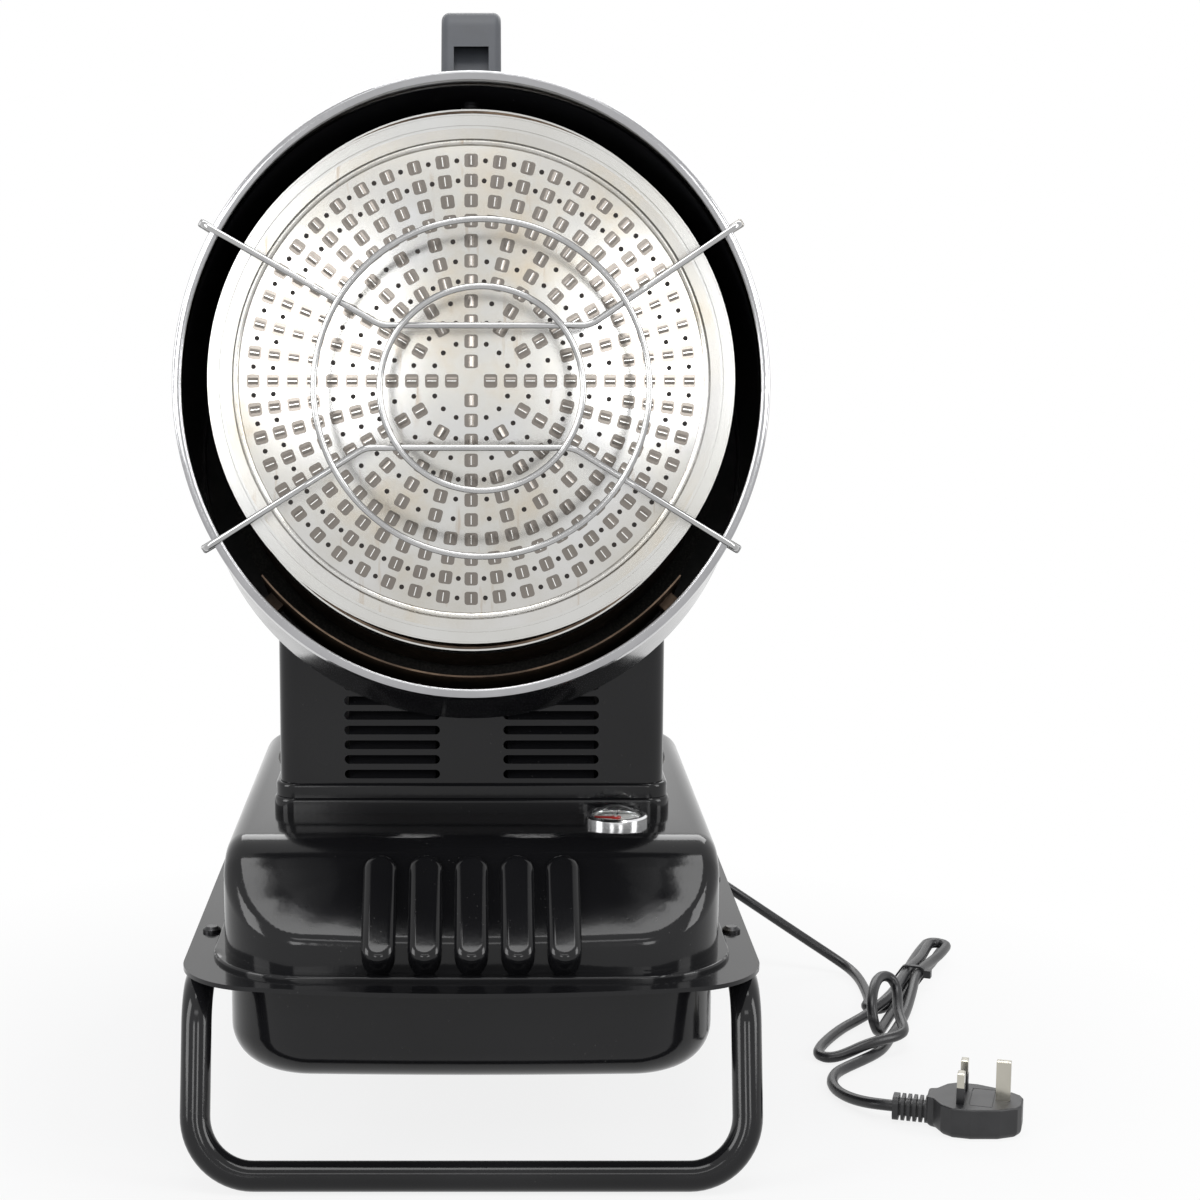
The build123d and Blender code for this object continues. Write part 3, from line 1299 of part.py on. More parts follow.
with BuildPart() as wire_guard:
    for side, shift in ((1, guard_bar_shift[0]), (-1, guard_bar_shift[1])):
        bar_line = guard_bar(side, shift)
        with BuildSketch(Plane(origin=bar_line @ 0, z_dir=bar_line % 0)):
            Circle(wire_r)
        sweep(path=bar_line)
    with Locations(moved(mouth, x=guard_shift, y=guard_lift, z=guard_stand_off)):
        for radius in guard_ring_r:
            Torus(radius, wire_r)
finish(wire_guard, "wire_guard")

with BuildPart() as guard_clips:
    for across in (-1, 1):
        for up in (-1, 1):
            spot = moved(mouth, x=across * guard_hook_x, y=up * guard_hook_z,
                         z=-rim_depth - clip_gap - clip_depth)
            spoke = degrees(asin(guard_hook_z / sqrt(guard_hook_x ** 2 + guard_hook_z ** 2)))
            with BuildSketch(spot):
                Rectangle(2 * clip_reach, clip_width, rotation=across * up * spoke)
            extrude(amount=clip_depth)
    with BuildSketch(head.offset(-drum_length)):
        Circle(drum_r)
    extrude(amount=drum_length + reach, mode=Mode.SUBTRACT)
    for across in (-1, 1):
        for up in (-1, 1):
            with BuildSketch(moved(mouth, x=across * guard_hook_x, y=up * guard_hook_z,
                                   z=-guard_hook_back - shaft_gap)):
                Circle(wire_r + shaft_gap)
            extrude(amount=guard_hook_back, mode=Mode.SUBTRACT)
finish(guard_clips, "guard_clips")

# Carrying handle on top of the drum
handle_plane = Plane(origin=head.origin, x_dir=head.z_dir, z_dir=(-1, 0, 0))
handle_foot = drum_r - 5
handle_top = drum_r + handle_height
handle_back = handle_front - handle_length
with BuildPart() as carrying_handle:
    with BuildSketch(handle_plane):
        with BuildLine():
            Polyline((handle_front, handle_foot), (handle_front - handle_splay, handle_top),
                     (handle_back + handle_splay, handle_top), (handle_back, handle_foot),
                     (handle_back + handle_leg, handle_foot),
                     (handle_back + handle_leg + handle_splay, handle_top - handle_grip),
                     (handle_front - handle_leg - handle_splay, handle_top - handle_grip),
                     (handle_front - handle_leg, handle_foot), close=True)
        make_face()
    extrude(amount=handle_width / 2, both=True)
    across = carrying_handle.edges().filter_by(Axis.X)
    tops = across.filter_by(lambda e: head.to_local_coords(e.center()).Y > handle_top - 1)
    fillet(tops, handle_top_round)
    across = carrying_handle.edges().filter_by(Axis.X)
    grips = across.filter_by(lambda e: abs(head.to_local_coords(e.center()).Y
                                           - handle_top + handle_grip) < 1)
    fillet(grips, handle_round)
    cheeks = carrying_handle.faces().filter_by(Axis.X)
    fillet([edge for f in cheeks for edge in f.edges()], handle_edge)
    with BuildSketch(head.offset(-drum_length * 2)):
        Circle(drum_r)
    extrude(amount=drum_length * 3, mode=Mode.SUBTRACT)
    with BuildSketch(handle_plane):
        with BuildLine():
            Polyline((handle_front + 1, drum_r + handle_edge),
                     (handle_front - handle_splay + 1, handle_top - handle_top_round),
                     (handle_front - handle_splay - handle_channel_depth, handle_top - handle_top_round),
                     (handle_front - handle_channel_depth, drum_r + handle_edge), close=True)
        make_face()
    extrude(amount=handle_channel_width / 2, both=True, mode=Mode.SUBTRACT)
    for leg in handle_legs:
        with Locations(moved(head, y=drum_r, z=leg)):
            Cylinder(screw_r, 4 * screw_length, rotation=(90, 0, 0), mode=Mode.SUBTRACT)
finish(carrying_handle, "carrying_handle")

with BuildPart() as handle_screws:
    for leg in handle_legs:
        seat = moved(head, y=drum_r - drum_sheet - 0.1, z=leg)
        add(turned(Plane(origin=seat.origin, x_dir=(1, 0, 0), z_dir=head.y_dir),
                   [(0, -screw_head), (screw_head_r * 0.6, -screw_head),
                    (screw_head_r, -screw_head / 2), (screw_head_r, 0), (screw_r, 0),
                    (screw_r, 2 * screw_length), (0, 2 * screw_length)]))
finish(handle_screws, "handle_screws")

# Mains lead: three tubes of straight runs and arcs, each arc as large as its runs allow


def cord_tube(route, name):
    """Write one tube and return points about a millimetre apart along its middle."""
    stops = [Vector(*stop) for stop in route]
    radii = []
    for before, here, after in zip(stops, stops[1:], stops[2:]):
        half_turn = radians((here - before).get_angle(after - here)) / 2
        shorter = min((here - before).length, (after - here).length)
        radii.append(cord_inner_share * shorter / tan(half_turn))
    with BuildLine(mode=Mode.PRIVATE):
        path = FilletPolyline(*stops, radius=radii)
    with BuildPart() as tube:
        with BuildSketch(Plane(origin=path @ 0, z_dir=path % 0)):
            Circle(cord_r)
        sweep(path=path)
    finish(tube, name)
    expected = pi * cord_r ** 2 * path.length
    print(name, "length", round(path.length, 1), "volume share", round(tube.part.volume / expected, 4))
    print(name, "radii", [round(radius, 1) for radius in radii])
    steps = round(path.length)
    return [tuple(path @ (step / steps)) for step in range(steps + 1)]


gland_mouth = (gland_x, panel_face + gland_length - gland_inner, gland_z)
cord_points = cord_tube((gland_mouth,) + lead_route, "cord_lead")
cord_points += cord_tube(lead_route[-1:] + hank_route, "cord_hank")[1:]
cord_points += cord_tube(hank_route[-1:] + tail_route, "cord_tail")[1:]
apart = round(4.4 * cord_r)
self_gap = min(dist(point, other) for index, point in enumerate(cord_points)
               for other in cord_points[index + apart:]) - 2 * cord_r
print("cord length", len(cord_points) - 1, "least gap to itself", round(self_gap, 2))

tie_plane = Plane(origin=tie_place, x_dir=(tie_direction[1], -tie_direction[0], 0),
                  z_dir=(-tie_direction[0], -tie_direction[1], 0))
with BuildPart() as cord_tie:
    with BuildSketch(tie_plane.offset(-tie_width / 2)):
        with Locations(*tie_strands):
            Circle(cord_r + fit_gap + tie_sheet)
        make_hull()
    extrude(amount=tie_width)
    strand_x, strand_z = tie_strands[-1]
    with BuildSketch(tie_plane.offset(-tie_buckle / 2)):
        with Locations((strand_x + cord_r + tie_buckle / 2, strand_z)):
            Rectangle(tie_buckle, tie_buckle)
    extrude(amount=tie_buckle)
    with BuildSketch(tie_plane.offset(-tie_buckle)):
        with Locations(*tie_strands):
            Circle(cord_r + fit_gap)
        make_hull()
    extrude(amount=2 * tie_buckle, mode=Mode.SUBTRACT)
finish(cord_tie, "cord_tie")

# Plug with its moulded relief, in the line of the tail's last run
tail_end = Vector(*tail_route[-1])
plug_line = (tail_end - Vector(*tail_route[-2])).normalized()
plug_seat = Plane(origin=tail_end, x_dir=plug_line.cross(Vector(0, 0, 1)), z_dir=plug_line)
plug_floor = Plane(origin=(tail_end.X, tail_end.Y, 0), x_dir=plug_line, z_dir=(0, 0, 1))
pins = ((pin_row, pin_spread / 2, pin_thickness, pin_width, pin_length),
        (pin_row, -pin_spread / 2, pin_thickness, pin_width, pin_length),
        (pin_row + earth_step, 0, earth_width, pin_thickness, earth_length))
with BuildPart() as plug_body:
    with BuildSketch(plug_floor) as plug_outline:
        with BuildLine():
            Polyline(*plug_half_outline, *[(u, -v) for u, v in reversed(plug_half_outline)], close=True)
        make_face()
        fillet(plug_outline.vertices(), plug_corner)
    extrude(amount=plug_height)
    fillet(plug_body.faces().sort_by(Axis.Z)[0].edges(), plug_bottom_round)
    fillet(plug_body.faces().sort_by(Axis.Z)[-1].edges(), plug_top_round)
    with BuildSketch(plug_seat):
        RectangleRounded(relief_width, relief_height, relief_round)
    extrude(amount=relief_length)
    for slot in range(relief_slots):
        with BuildSketch(plug_seat.offset((slot + 1) * relief_slot_pitch)):
            Rectangle(2 * relief_width, 2 * relief_height)
            RectangleRounded(relief_width - 2 * relief_slot_depth, relief_height - 2 * relief_slot_depth,
                             relief_round - relief_slot_depth, mode=Mode.SUBTRACT)
        extrude(amount=relief_slot_width, mode=Mode.SUBTRACT)
    with BuildSketch(plug_floor.offset(plug_height - fuse_cover_line)):
        with Locations((pin_row + earth_step / 2, 0)):
            RectangleRounded(fuse_cover_width, fuse_cover_length, 2 * fuse_cover_line)
            RectangleRounded(fuse_cover_width - 2 * fuse_cover_line,
                             fuse_cover_length - 2 * fuse_cover_line, fuse_cover_line,
                             mode=Mode.SUBTRACT)
    extrude(amount=plug_height, mode=Mode.SUBTRACT)
    for along, across, thickness, width, length in pins:
        with BuildSketch(plug_floor.offset(plug_height - pin_root)):
            with Locations((along, across)):
                Rectangle(thickness + 2 * shaft_gap, width + 2 * shaft_gap)
        extrude(amount=plug_height, mode=Mode.SUBTRACT)
finish(plug_body, "plug_body")

with BuildPart() as plug_pins:
    for along, across, thickness, width, length in pins:
        with BuildSketch(plug_floor.offset(plug_height - pin_root)):
            with Locations((along, across)):
                Rectangle(thickness, width)
        extrude(amount=pin_root + length)
    tips = [f for f in plug_pins.faces().filter_by(Axis.Z) if f.center().Z > plug_height]
    fillet([edge for f in tips for edge in f.edges()], pin_round)
finish(plug_pins, "plug_pins")
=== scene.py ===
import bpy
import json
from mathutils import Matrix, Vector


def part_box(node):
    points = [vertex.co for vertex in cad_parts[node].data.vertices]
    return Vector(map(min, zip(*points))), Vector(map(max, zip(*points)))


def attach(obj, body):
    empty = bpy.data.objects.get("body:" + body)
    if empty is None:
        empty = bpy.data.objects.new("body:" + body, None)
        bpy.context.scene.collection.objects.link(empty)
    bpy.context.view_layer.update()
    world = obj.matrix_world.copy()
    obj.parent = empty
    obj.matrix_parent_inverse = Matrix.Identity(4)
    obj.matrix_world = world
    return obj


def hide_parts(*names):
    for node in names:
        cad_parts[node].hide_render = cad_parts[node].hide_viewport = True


bl_info = {
    "name": "Infrared diesel heater finish",
    "version": (1, 0, 0),
    "blender": (4, 5, 0),
    "location": "View3D > Sidebar > Heater",
    "description": "Dresses the packed heater with its lead, marks, finishes and studio",
    "category": "Object",
}

import json
import math

import bmesh
import bpy
from mathutils import Matrix, Vector

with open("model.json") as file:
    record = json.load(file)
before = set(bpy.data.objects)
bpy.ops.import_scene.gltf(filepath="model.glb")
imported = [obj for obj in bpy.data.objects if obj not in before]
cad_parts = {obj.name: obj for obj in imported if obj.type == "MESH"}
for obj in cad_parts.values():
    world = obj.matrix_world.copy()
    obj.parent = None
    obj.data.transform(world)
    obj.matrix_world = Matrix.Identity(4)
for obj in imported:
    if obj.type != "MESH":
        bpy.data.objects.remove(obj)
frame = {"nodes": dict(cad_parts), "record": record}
BODY_OF = {
    node: body for body, nodes in frame["record"]["behaviour"]["bodies"].items() for node in nodes
}
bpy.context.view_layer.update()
MM = 0.001

# Points nearer than this are one point: in a copy of a CAD node, and in a spun piece
NODE_WELD = 0.0005 * MM
SPIN_WELD = 0.01 * MM

# Camera, in metres, degrees and millimetres of lens
CAMERA_PLACE = (0.002, -1.35, 0.49)
CAMERA_DIP = 8.7
CAMERA_LENS = 70.5
CAMERA_SENSOR = 36.0
CAMERA_SHIFT = 0.104

# Floor: half its side and its middle in metres; its tones change at shares of its reach in millimetres
FLOOR_HALF = 1.3
FLOOR_MIDDLE = (0.1, 0.8, 0)
FLOOR_REACH = 1500.0

# Lamps: name, place in metres, width and height in metres, power in watts; each is turned to the aim
LAMP_AIM = Vector((0, 0, 0.3))
LAMPS = (
    ("left_softbox", (-1.9, -1.0, 0.95), 0.9, 1.7, 30.0),
    ("right_softbox", (1.9, -0.8, 0.95), 0.7, 1.6, 22.0),
    ("top_softbox", (0.1, -0.4, 2.3), 1.5, 1.0, 26.0),
    ("front_left_softbox", (-0.66, -2.6, 0.8), 0.5, 0.6, 6.0),
    ("front_right_softbox", (0.76, -2.6, 0.8), 0.5, 0.6, 6.0),
    ("front_top_softbox", (0.0, -2.4, 1.9), 1.4, 0.35, 5.0),
    ("back_softbox", (0.2, 1.8, 1.5), 1.9, 0.8, 16.0),
)

# The lead's radius in millimetres
CORD_R = 3.25

# The lead's route in millimetres, one row of points from the gland to the plug
CORD_ROUTE = (
    (72, 141.2, 212), (72, 160, 212), (73, 180, 206), (77, 199, 193), (83, 216, 172), (91, 229, 146),
    (102, 238, 118), (117, 243, 92), (140, 240, 70), (179.6, 206.7, 50), (222.9, 194.3, 23),
    (247.5, 184.5, 8.5), (256.2, 174.4, 4), (258.6, 151.9, CORD_R), (257.6, 116.9, CORD_R),
    (254.8, 109.3, CORD_R), (253, 104.2, CORD_R), (254.9, 99.7, CORD_R), (259.3, 98, CORD_R),
    (263.7, 100, CORD_R), (266.7, 106.8, 3.35), (271.5, 120, 3.95), (279.9, 140.3, 5.6), (287.7, 160.8, 5.6),
    (296.4, 187.5, 3.55), (305.4, 211.9, CORD_R), (311.6, 226.7, CORD_R), (315.7, 235.8, CORD_R),
    (318.6, 241.7, CORD_R), (323, 243.8, CORD_R), (327.7, 242, CORD_R), (329.7, 237.3, CORD_R),
    (327.7, 231.1, CORD_R), (323.2, 220, CORD_R), (317.1, 205.2, CORD_R), (307.6, 183.1, 3.55),
    (295.6, 159.9, 5.6), (286.6, 137.7, 5.6), (274.7, 107.9, 3.65), (263.3, 80.2, 3.45), (255.4, 58.6, 3.65),
    (251, 45.3, 6.2), (247.9, 38.4, 12), (245.9, 38.2, 19.5), (246.4, 44.4, 26.5), (249.1, 54.6, 31.2),
    (252.9, 64.9, 33.7), (258.1, 72.6, 34), (263.8, 75.7, 31.5), (267, 72.8, 26), (266.3, 65.6, 20.5),
    (264.7, 54.9, 16.5), (264.8, 44.2, 14), (265, 35, 12.6), (262.8, 26.7, 12.3), (256.6, 20.5, 12),
    (247.3, 15.6, 11.6), (237, 11.6, 9.8), (227.9, 8.7, 6.6), (219.7, 7.1, 4), (213, 8, CORD_R),
    (209.5, 13.8, CORD_R), (210.9, 21.8, CORD_R), (215.6, 33.4, CORD_R), (224.1, 49.4, CORD_R),
    (232.7, 63.2, CORD_R), (241.4, 73.8, 3.55), (249.5, 82.4, 4.6), (257, 89.1, 7.3), (264.4, 97, 9.9),
    (272.2, 111.1, 11), (283.3, 138.9, 11.8), (291.6, 159.3, 11.8), (300.4, 177.3, 10.6),
    (306.3, 192.2, 10.3), (310.3, 203.6, 10.3), (313.4, 212, 10.3), (315.6, 216.9, 10.3),
    (320.1, 218.9, 10.3), (324.5, 217.2, 10.3), (326.4, 212.7, 10.3), (324.3, 206.7, 10.3),
    (320.3, 197.5, 10.3), (314.3, 185.9, 10.3), (306.8, 172.7, 10.6), (298.2, 155.7, 11.8),
    (290.4, 136.2, 11.5), (283.7, 113, 7.4), (275.8, 88.2, 4.2), (266.7, 63.8, CORD_R),
    (258.1, 43.6, CORD_R), (251.1, 25.1, CORD_R), (243.3, 13.5, CORD_R), (234.8, 3.8, CORD_R),
    (218.6, -13.4, CORD_R), (213, -23.5, CORD_R), (210.2, -36, CORD_R), (211.5, -48.5, 3.35),
    (215.8, -61.4, 4.45), (222.1, -72.1, 5.95), (229.3, -81.4, 8), (237.6, -83.9, 8),
)

# Mouth of the drum: its middle, and the directions across, up and out of it
MOUTH_LEAN = math.radians(4.0)
ACROSS = Vector((1, 0, 0))
UP = Vector((0, math.sin(MOUTH_LEAN), math.cos(MOUTH_LEAN)))
OUT = Vector((0, -math.cos(MOUTH_LEAN), math.sin(MOUTH_LEAN)))
MOUTH = Vector((0, -195, 419)) * MM
HEAD_TILT = math.radians(21.0)
DRUM_AXIS = Vector((0, -math.cos(HEAD_TILT), math.sin(HEAD_TILT)))

# Radiating disc: its middle, then its dome, bead, wall and rings of louvres in millimetres
DISC = MOUTH + (UP * 3 - OUT * 15.8) * MM
DISC_R = 115.5
DISC_DOME = 7.0
DISC_FLANGE_R = 124.0
DISC_WALL = 0.8
DOME_BALL_R = (DISC_R ** 2 + DISC_DOME ** 2) / (2 * DISC_DOME)
DOME_STEPS = 24
BEAD = [(116.0, 1.05), (116.6, 1.55), (117.3, 1.8), (118.0, 1.55), (118.6, 1.05), (119.1, 0.0)]
CELL_COUNTS = (4, 4, 12, 12, 24, 24, 24, 48, 48, 48, 48)
CELL_FIRST = 9.6
CELL_PITCH = 9.87

# Air holes, laid as flat dark discs of painted shade: the ring of louvres that they lie in, and their turns
# in degrees from each louvre there
HOLE_TURNS = (
    (1, (22.5, 45.0, 67.5)), (2, (15.0,)), (3, (15.0,)), (5, (7.5,)), (6, (7.5,)), (4, (7.5,)),
    (9, (3.75,)), (10, (3.75,)),
)

# Gauze behind the slots in the drum's back, in millimetres: depth from the mouth, radii and wall
GAUZE_DEPTH = 116.6
GAUZE_INNER_R = 80.0
GAUZE_OUTER_R = 131.0
GAUZE_WALL = 0.3

# Sleeves of the two live pins, in millimetres: half their spacing, their place and their size
SLEEVE_ASIDE = 11.1
SLEEVE_AHEAD = 38.0
SLEEVE_HEIGHT = 22.6
SLEEVE_SIZE = (4.3, 6.7, 9.6)
SLEEVE_ROUND = 0.35

# Brackets of the wire guard, in millimetres from the middle of the mouth
BRACKET_ACROSS = 130.5
BRACKET_UP = 79.0
BRACKET_BACK = 12.6
BRACKET_INWARD = 1.6
BRACKET_SIZE = (10.6, 4.4, 7.8)
BRACKET_ROUND = 1.2

# Scale of the fuel gauge, in millimetres and degrees; a tick has a length and a width
DIAL_TOP = 174.14
SCALE_R = 13.4
SCALE_START = 180.0
SCALE_SWEEP = 97.5
TICK_GAPS = 8
LONG_TICK = (3.0, 0.9)
SHORT_TICK = (1.8, 0.5)
TICK_RISE = 0.06

# Mark on the thermostat knob: the middle of the knob's face in metres, the rest in millimetres
KNOB_FACE = Vector((20, 134.95, 226)) * MM
MARK_RAISED = 7.5
MARK_SIZE = (1.2, 0.3, 8.0)


# Node helpers


def start_material(name):
    """Material with one principled shader, its tree and its object coordinates."""
    material = bpy.data.materials.new(name)
    material.use_nodes = True
    tree = material.node_tree
    tree.nodes.clear()
    output = tree.nodes.new("ShaderNodeOutputMaterial")
    shader = tree.nodes.new("ShaderNodeBsdfPrincipled")
    tree.links.new(shader.outputs["BSDF"], output.inputs["Surface"])
    place = tree.nodes.new("ShaderNodeTexCoord").outputs["Object"]
    return material, tree, shader, place


def mapped(tree, place, origin=(0, 0, 0), turn=(0, 0, 0), scale=(1, 1, 1)):
    """Object coordinates moved, turned and stretched for one pattern."""
    node = tree.nodes.new("ShaderNodeMapping")
    node.vector_type = "TEXTURE"
    node.inputs["Location"].default_value = origin
    node.inputs["Rotation"].default_value = turn
    node.inputs["Scale"].default_value = scale
    tree.links.new(place, node.inputs["Vector"])
    return node.outputs["Vector"]


def noise(tree, place, scale, detail=2.0, roughness=0.5):
    """Cloudy pattern; scale counts its patches in a metre."""
    node = tree.nodes.new("ShaderNodeTexNoise")
    node.inputs["Scale"].default_value = scale
    node.inputs["Detail"].default_value = detail
    node.inputs["Roughness"].default_value = roughness
    tree.links.new(place, node.inputs["Vector"])
    return node.outputs["Fac"]


def specks(tree, place, scale):
    """Distance to the nearest of many scattered points."""
    node = tree.nodes.new("ShaderNodeTexVoronoi")
    node.inputs["Scale"].default_value = scale
    tree.links.new(place, node.inputs["Vector"])
    return node.outputs["Distance"]


def sums(tree, operation, first, second=0.0, third=0.0):
    """Math node on sockets or numbers."""
    node = tree.nodes.new("ShaderNodeMath")
    node.operation = operation
    for socket, value in zip(node.inputs, (first, second, third)):
        if isinstance(value, (int, float)):
            socket.default_value = value
        else:
            tree.links.new(value, socket)
    return node.outputs["Value"]


def levels(tree, value, *stops):
    """Greys or colours along a value, from (place, colour) stops."""
    node = tree.nodes.new("ShaderNodeValToRGB")
    ramp = node.color_ramp
    while len(ramp.elements) < len(stops):
        ramp.elements.new(0.5)
    for element, (position, colour) in zip(ramp.elements, stops):
        element.position = position
        if isinstance(colour, (int, float)):
            colour = (colour, colour, colour)
        element.color = (*colour, 1.0)
    tree.links.new(value, node.inputs["Fac"])
    return node.outputs["Color"]


def blended(tree, amount, first, second, kind="MIX"):
    """Two colours mixed by an amount."""
    node = tree.nodes.new("ShaderNodeMix")
    node.data_type = "RGBA"
    node.blend_type = kind
    for socket, value in ((node.inputs[0], amount), (node.inputs[6], first), (node.inputs[7], second)):
        if isinstance(value, (int, float)):
            socket.default_value = value
        elif isinstance(value, bpy.types.NodeSocket):
            tree.links.new(value, socket)
        else:
            socket.default_value = (*value[:3], 1.0)
    return node.outputs[2]


def relief(tree, shader, height, depth, strength=1.0):
    """Small bumps from a pattern, depth in millimetres."""
    node = tree.nodes.new("ShaderNodeBump")
    node.inputs["Strength"].default_value = strength
    node.inputs["Distance"].default_value = depth * MM
    tree.links.new(height, node.inputs["Height"])
    tree.links.new(node.outputs["Normal"], shader.inputs["Normal"])


def disc_place(tree, place):
    """Coordinates about the disc: x across, y up, z out along the axis of the mouth."""
    return mapped(tree, place, tuple(DISC), (math.pi / 2 - MOUTH_LEAN, 0, 0))


def distance_from_axis(tree, place):
    """Distance from the z axis, in millimetres."""
    parts = tree.nodes.new("ShaderNodeSeparateXYZ")
    tree.links.new(place, parts.inputs["Vector"])
    across = sums(tree, "MULTIPLY", parts.outputs["X"], parts.outputs["X"])
    up = sums(tree, "MULTIPLY", parts.outputs["Y"], parts.outputs["Y"])
    length = sums(tree, "SQRT", sums(tree, "ADD", across, up))
    return sums(tree, "MULTIPLY", length, 1000.0)


def background_rays(tree):
    """1 for the camera, glossy and transmission rays, which see the white background, else 0."""
    path = tree.nodes.new("ShaderNodeLightPath")
    mirrored = sums(tree, "MAXIMUM", path.outputs["Is Glossy Ray"], path.outputs["Is Transmission Ray"])
    return sums(tree, "MAXIMUM", path.outputs["Is Camera Ray"], mirrored)


def joined(tree, amount, first, second):
    """Two shaders mixed by an amount."""
    node = tree.nodes.new("ShaderNodeMixShader")
    tree.links.new(amount, node.inputs["Fac"])
    tree.links.new(first, node.inputs[1])
    tree.links.new(second, node.inputs[2])
    return node.outputs["Shader"]


# Finishes


def gloss_enamel(name="black_enamel", dust=0.25):
    """Gloss black stove enamel: deep black, faint orange peel, settled dust and wipe marks."""
    settings = bpy.context.scene.heater_finishes
    material, tree, shader, place = start_material(name)
    colour = settings.enamel_colour
    cloud = noise(tree, place, 9.0, 3.0)
    dots = levels(tree, specks(tree, place, 260.0), (0.0, 1.0), (0.07, 0.35), (0.12, 0.0))
    patches = levels(tree, noise(tree, place, 24.0, 4.0), (0.5, 0.0), (0.72, 1.0))
    amount = sums(tree, "MULTIPLY", sums(tree, "MULTIPLY", dots, patches), dust)
    base = blended(tree, levels(tree, cloud, (0.3, 0.0), (0.7, 1.0)), colour,
                   [c * 1.8 + 0.001 for c in colour])
    base = blended(tree, amount, base, (0.42, 0.41, 0.39))
    tree.links.new(base, shader.inputs["Base Color"])
    wiped = mapped(tree, place, scale=(1.0, 1.0, 0.25))
    sheen = levels(tree, noise(tree, wiped, 16.0, 4.0), (0.35, settings.enamel_roughness),
                   (0.7, settings.enamel_roughness + 0.07))
    tree.links.new(sums(tree, "ADD", sheen, sums(tree, "MULTIPLY", amount, 0.4)),
                   shader.inputs["Roughness"])
    shader.inputs["Specular IOR Level"].default_value = 0.24
    shader.inputs["Coat Weight"].default_value = 0.1
    shader.inputs["Coat Roughness"].default_value = 0.04
    relief(tree, shader, noise(tree, place, 420.0, 2.0), 0.05, 0.35)
    return material


def bright_chrome(name, roughness, tint=(0.86, 0.86, 0.87)):
    """Polished plating with faint haze and fine handling marks."""
    material, tree, shader, place = start_material(name)
    haze = noise(tree, place, 35.0, 4.0)
    tree.links.new(blended(tree, levels(tree, haze, (0.4, 0.0), (0.75, 1.0)), tint,
                           [c * 0.86 for c in tint]), shader.inputs["Base Color"])
    shader.inputs["Metallic"].default_value = 1.0
    fine = noise(tree, mapped(tree, place, scale=(0.2, 1.0, 1.0)), 500.0, 2.0)
    tree.links.new(sums(tree, "MULTIPLY_ADD", fine, 0.08, roughness - 0.02), shader.inputs["Roughness"])
    relief(tree, shader, fine, 0.01, 0.2)
    return material


def zinc_steel(name="zinc_steel", tint=(0.52, 0.52, 0.5)):
    """Dull plated steel with a crystalline mottling."""
    material, tree, shader, place = start_material(name)
    grain = specks(tree, place, 190.0)
    stain = noise(tree, place, 45.0, 5.0)
    tone = blended(tree, levels(tree, grain, (0.1, 0.0), (0.7, 1.0)), tint, [c * 0.72 for c in tint])
    tree.links.new(blended(tree, levels(tree, stain, (0.5, 0.0), (0.8, 0.6)), tone, (0.33, 0.29, 0.23)),
                   shader.inputs["Base Color"])
    shader.inputs["Metallic"].default_value = 1.0
    tree.links.new(sums(tree, "MULTIPLY_ADD", stain, 0.25, 0.24), shader.inputs["Roughness"])
    relief(tree, shader, noise(tree, place, 700.0, 3.0), 0.03, 0.3)
    return material


def moulded_plastic(name, colour, roughness=0.42, grain=0.06, sheen=0.0):
    """Moulded plastic or rubber with spark-eroded grain and scuffed sheen."""
    material, tree, shader, place = start_material(name)
    cloud = noise(tree, place, 60.0, 4.0)
    light = [c * 1.35 + 0.006 for c in colour]
    tree.links.new(blended(tree, levels(tree, cloud, (0.35, 0.0), (0.75, 1.0)), list(colour), light),
                   shader.inputs["Base Color"])
    tree.links.new(sums(tree, "MULTIPLY_ADD", cloud, 0.16, roughness - 0.08), shader.inputs["Roughness"])
    shader.inputs["Sheen Weight"].default_value = sheen
    relief(tree, shader, noise(tree, place, 1500.0, 2.0), grain, 0.4)
    return material


def heated_disc():
    """Bright stainless steel, duller to its edge, with straw and brown heat stains and upright streaks."""
    material, tree, shader, place = start_material("radiating_disc_steel")
    about = disc_place(tree, place)
    radius = distance_from_axis(tree, about)
    blotch = noise(tree, place, 26.0, 5.0, 0.6)
    wide = noise(tree, place, 9.0, 3.0)
    heat = sums(tree, "ADD", sums(tree, "MULTIPLY", blotch, 0.6), sums(tree, "MULTIPLY", wide, 0.55))
    stain = levels(tree, heat, (0.42, (0.64, 0.64, 0.64)), (0.58, (0.56, 0.55, 0.52)),
                   (0.72, (0.48, 0.43, 0.35)), (0.84, (0.42, 0.33, 0.24)))
    edge = levels(tree, sums(tree, "DIVIDE", radius, 120.0), (0.72, 0.0), (0.97, 0.4))
    base = blended(tree, edge, stain, (0.80, 0.77, 0.72), "MULTIPLY")
    streak = noise(tree, mapped(tree, about, scale=(1.0, 9.0, 1.0)), 210.0, 3.0)
    base = blended(tree, levels(tree, streak, (0.64, 0.0), (0.8, 0.6)), base, (0.36, 0.27, 0.18))
    tree.links.new(base, shader.inputs["Base Color"])
    shader.inputs["Metallic"].default_value = 1.0
    tree.links.new(levels(tree, blotch, (0.35, 0.16), (0.7, 0.26)), shader.inputs["Roughness"])
    relief(tree, shader, wide, 0.2, 0.5)
    return material


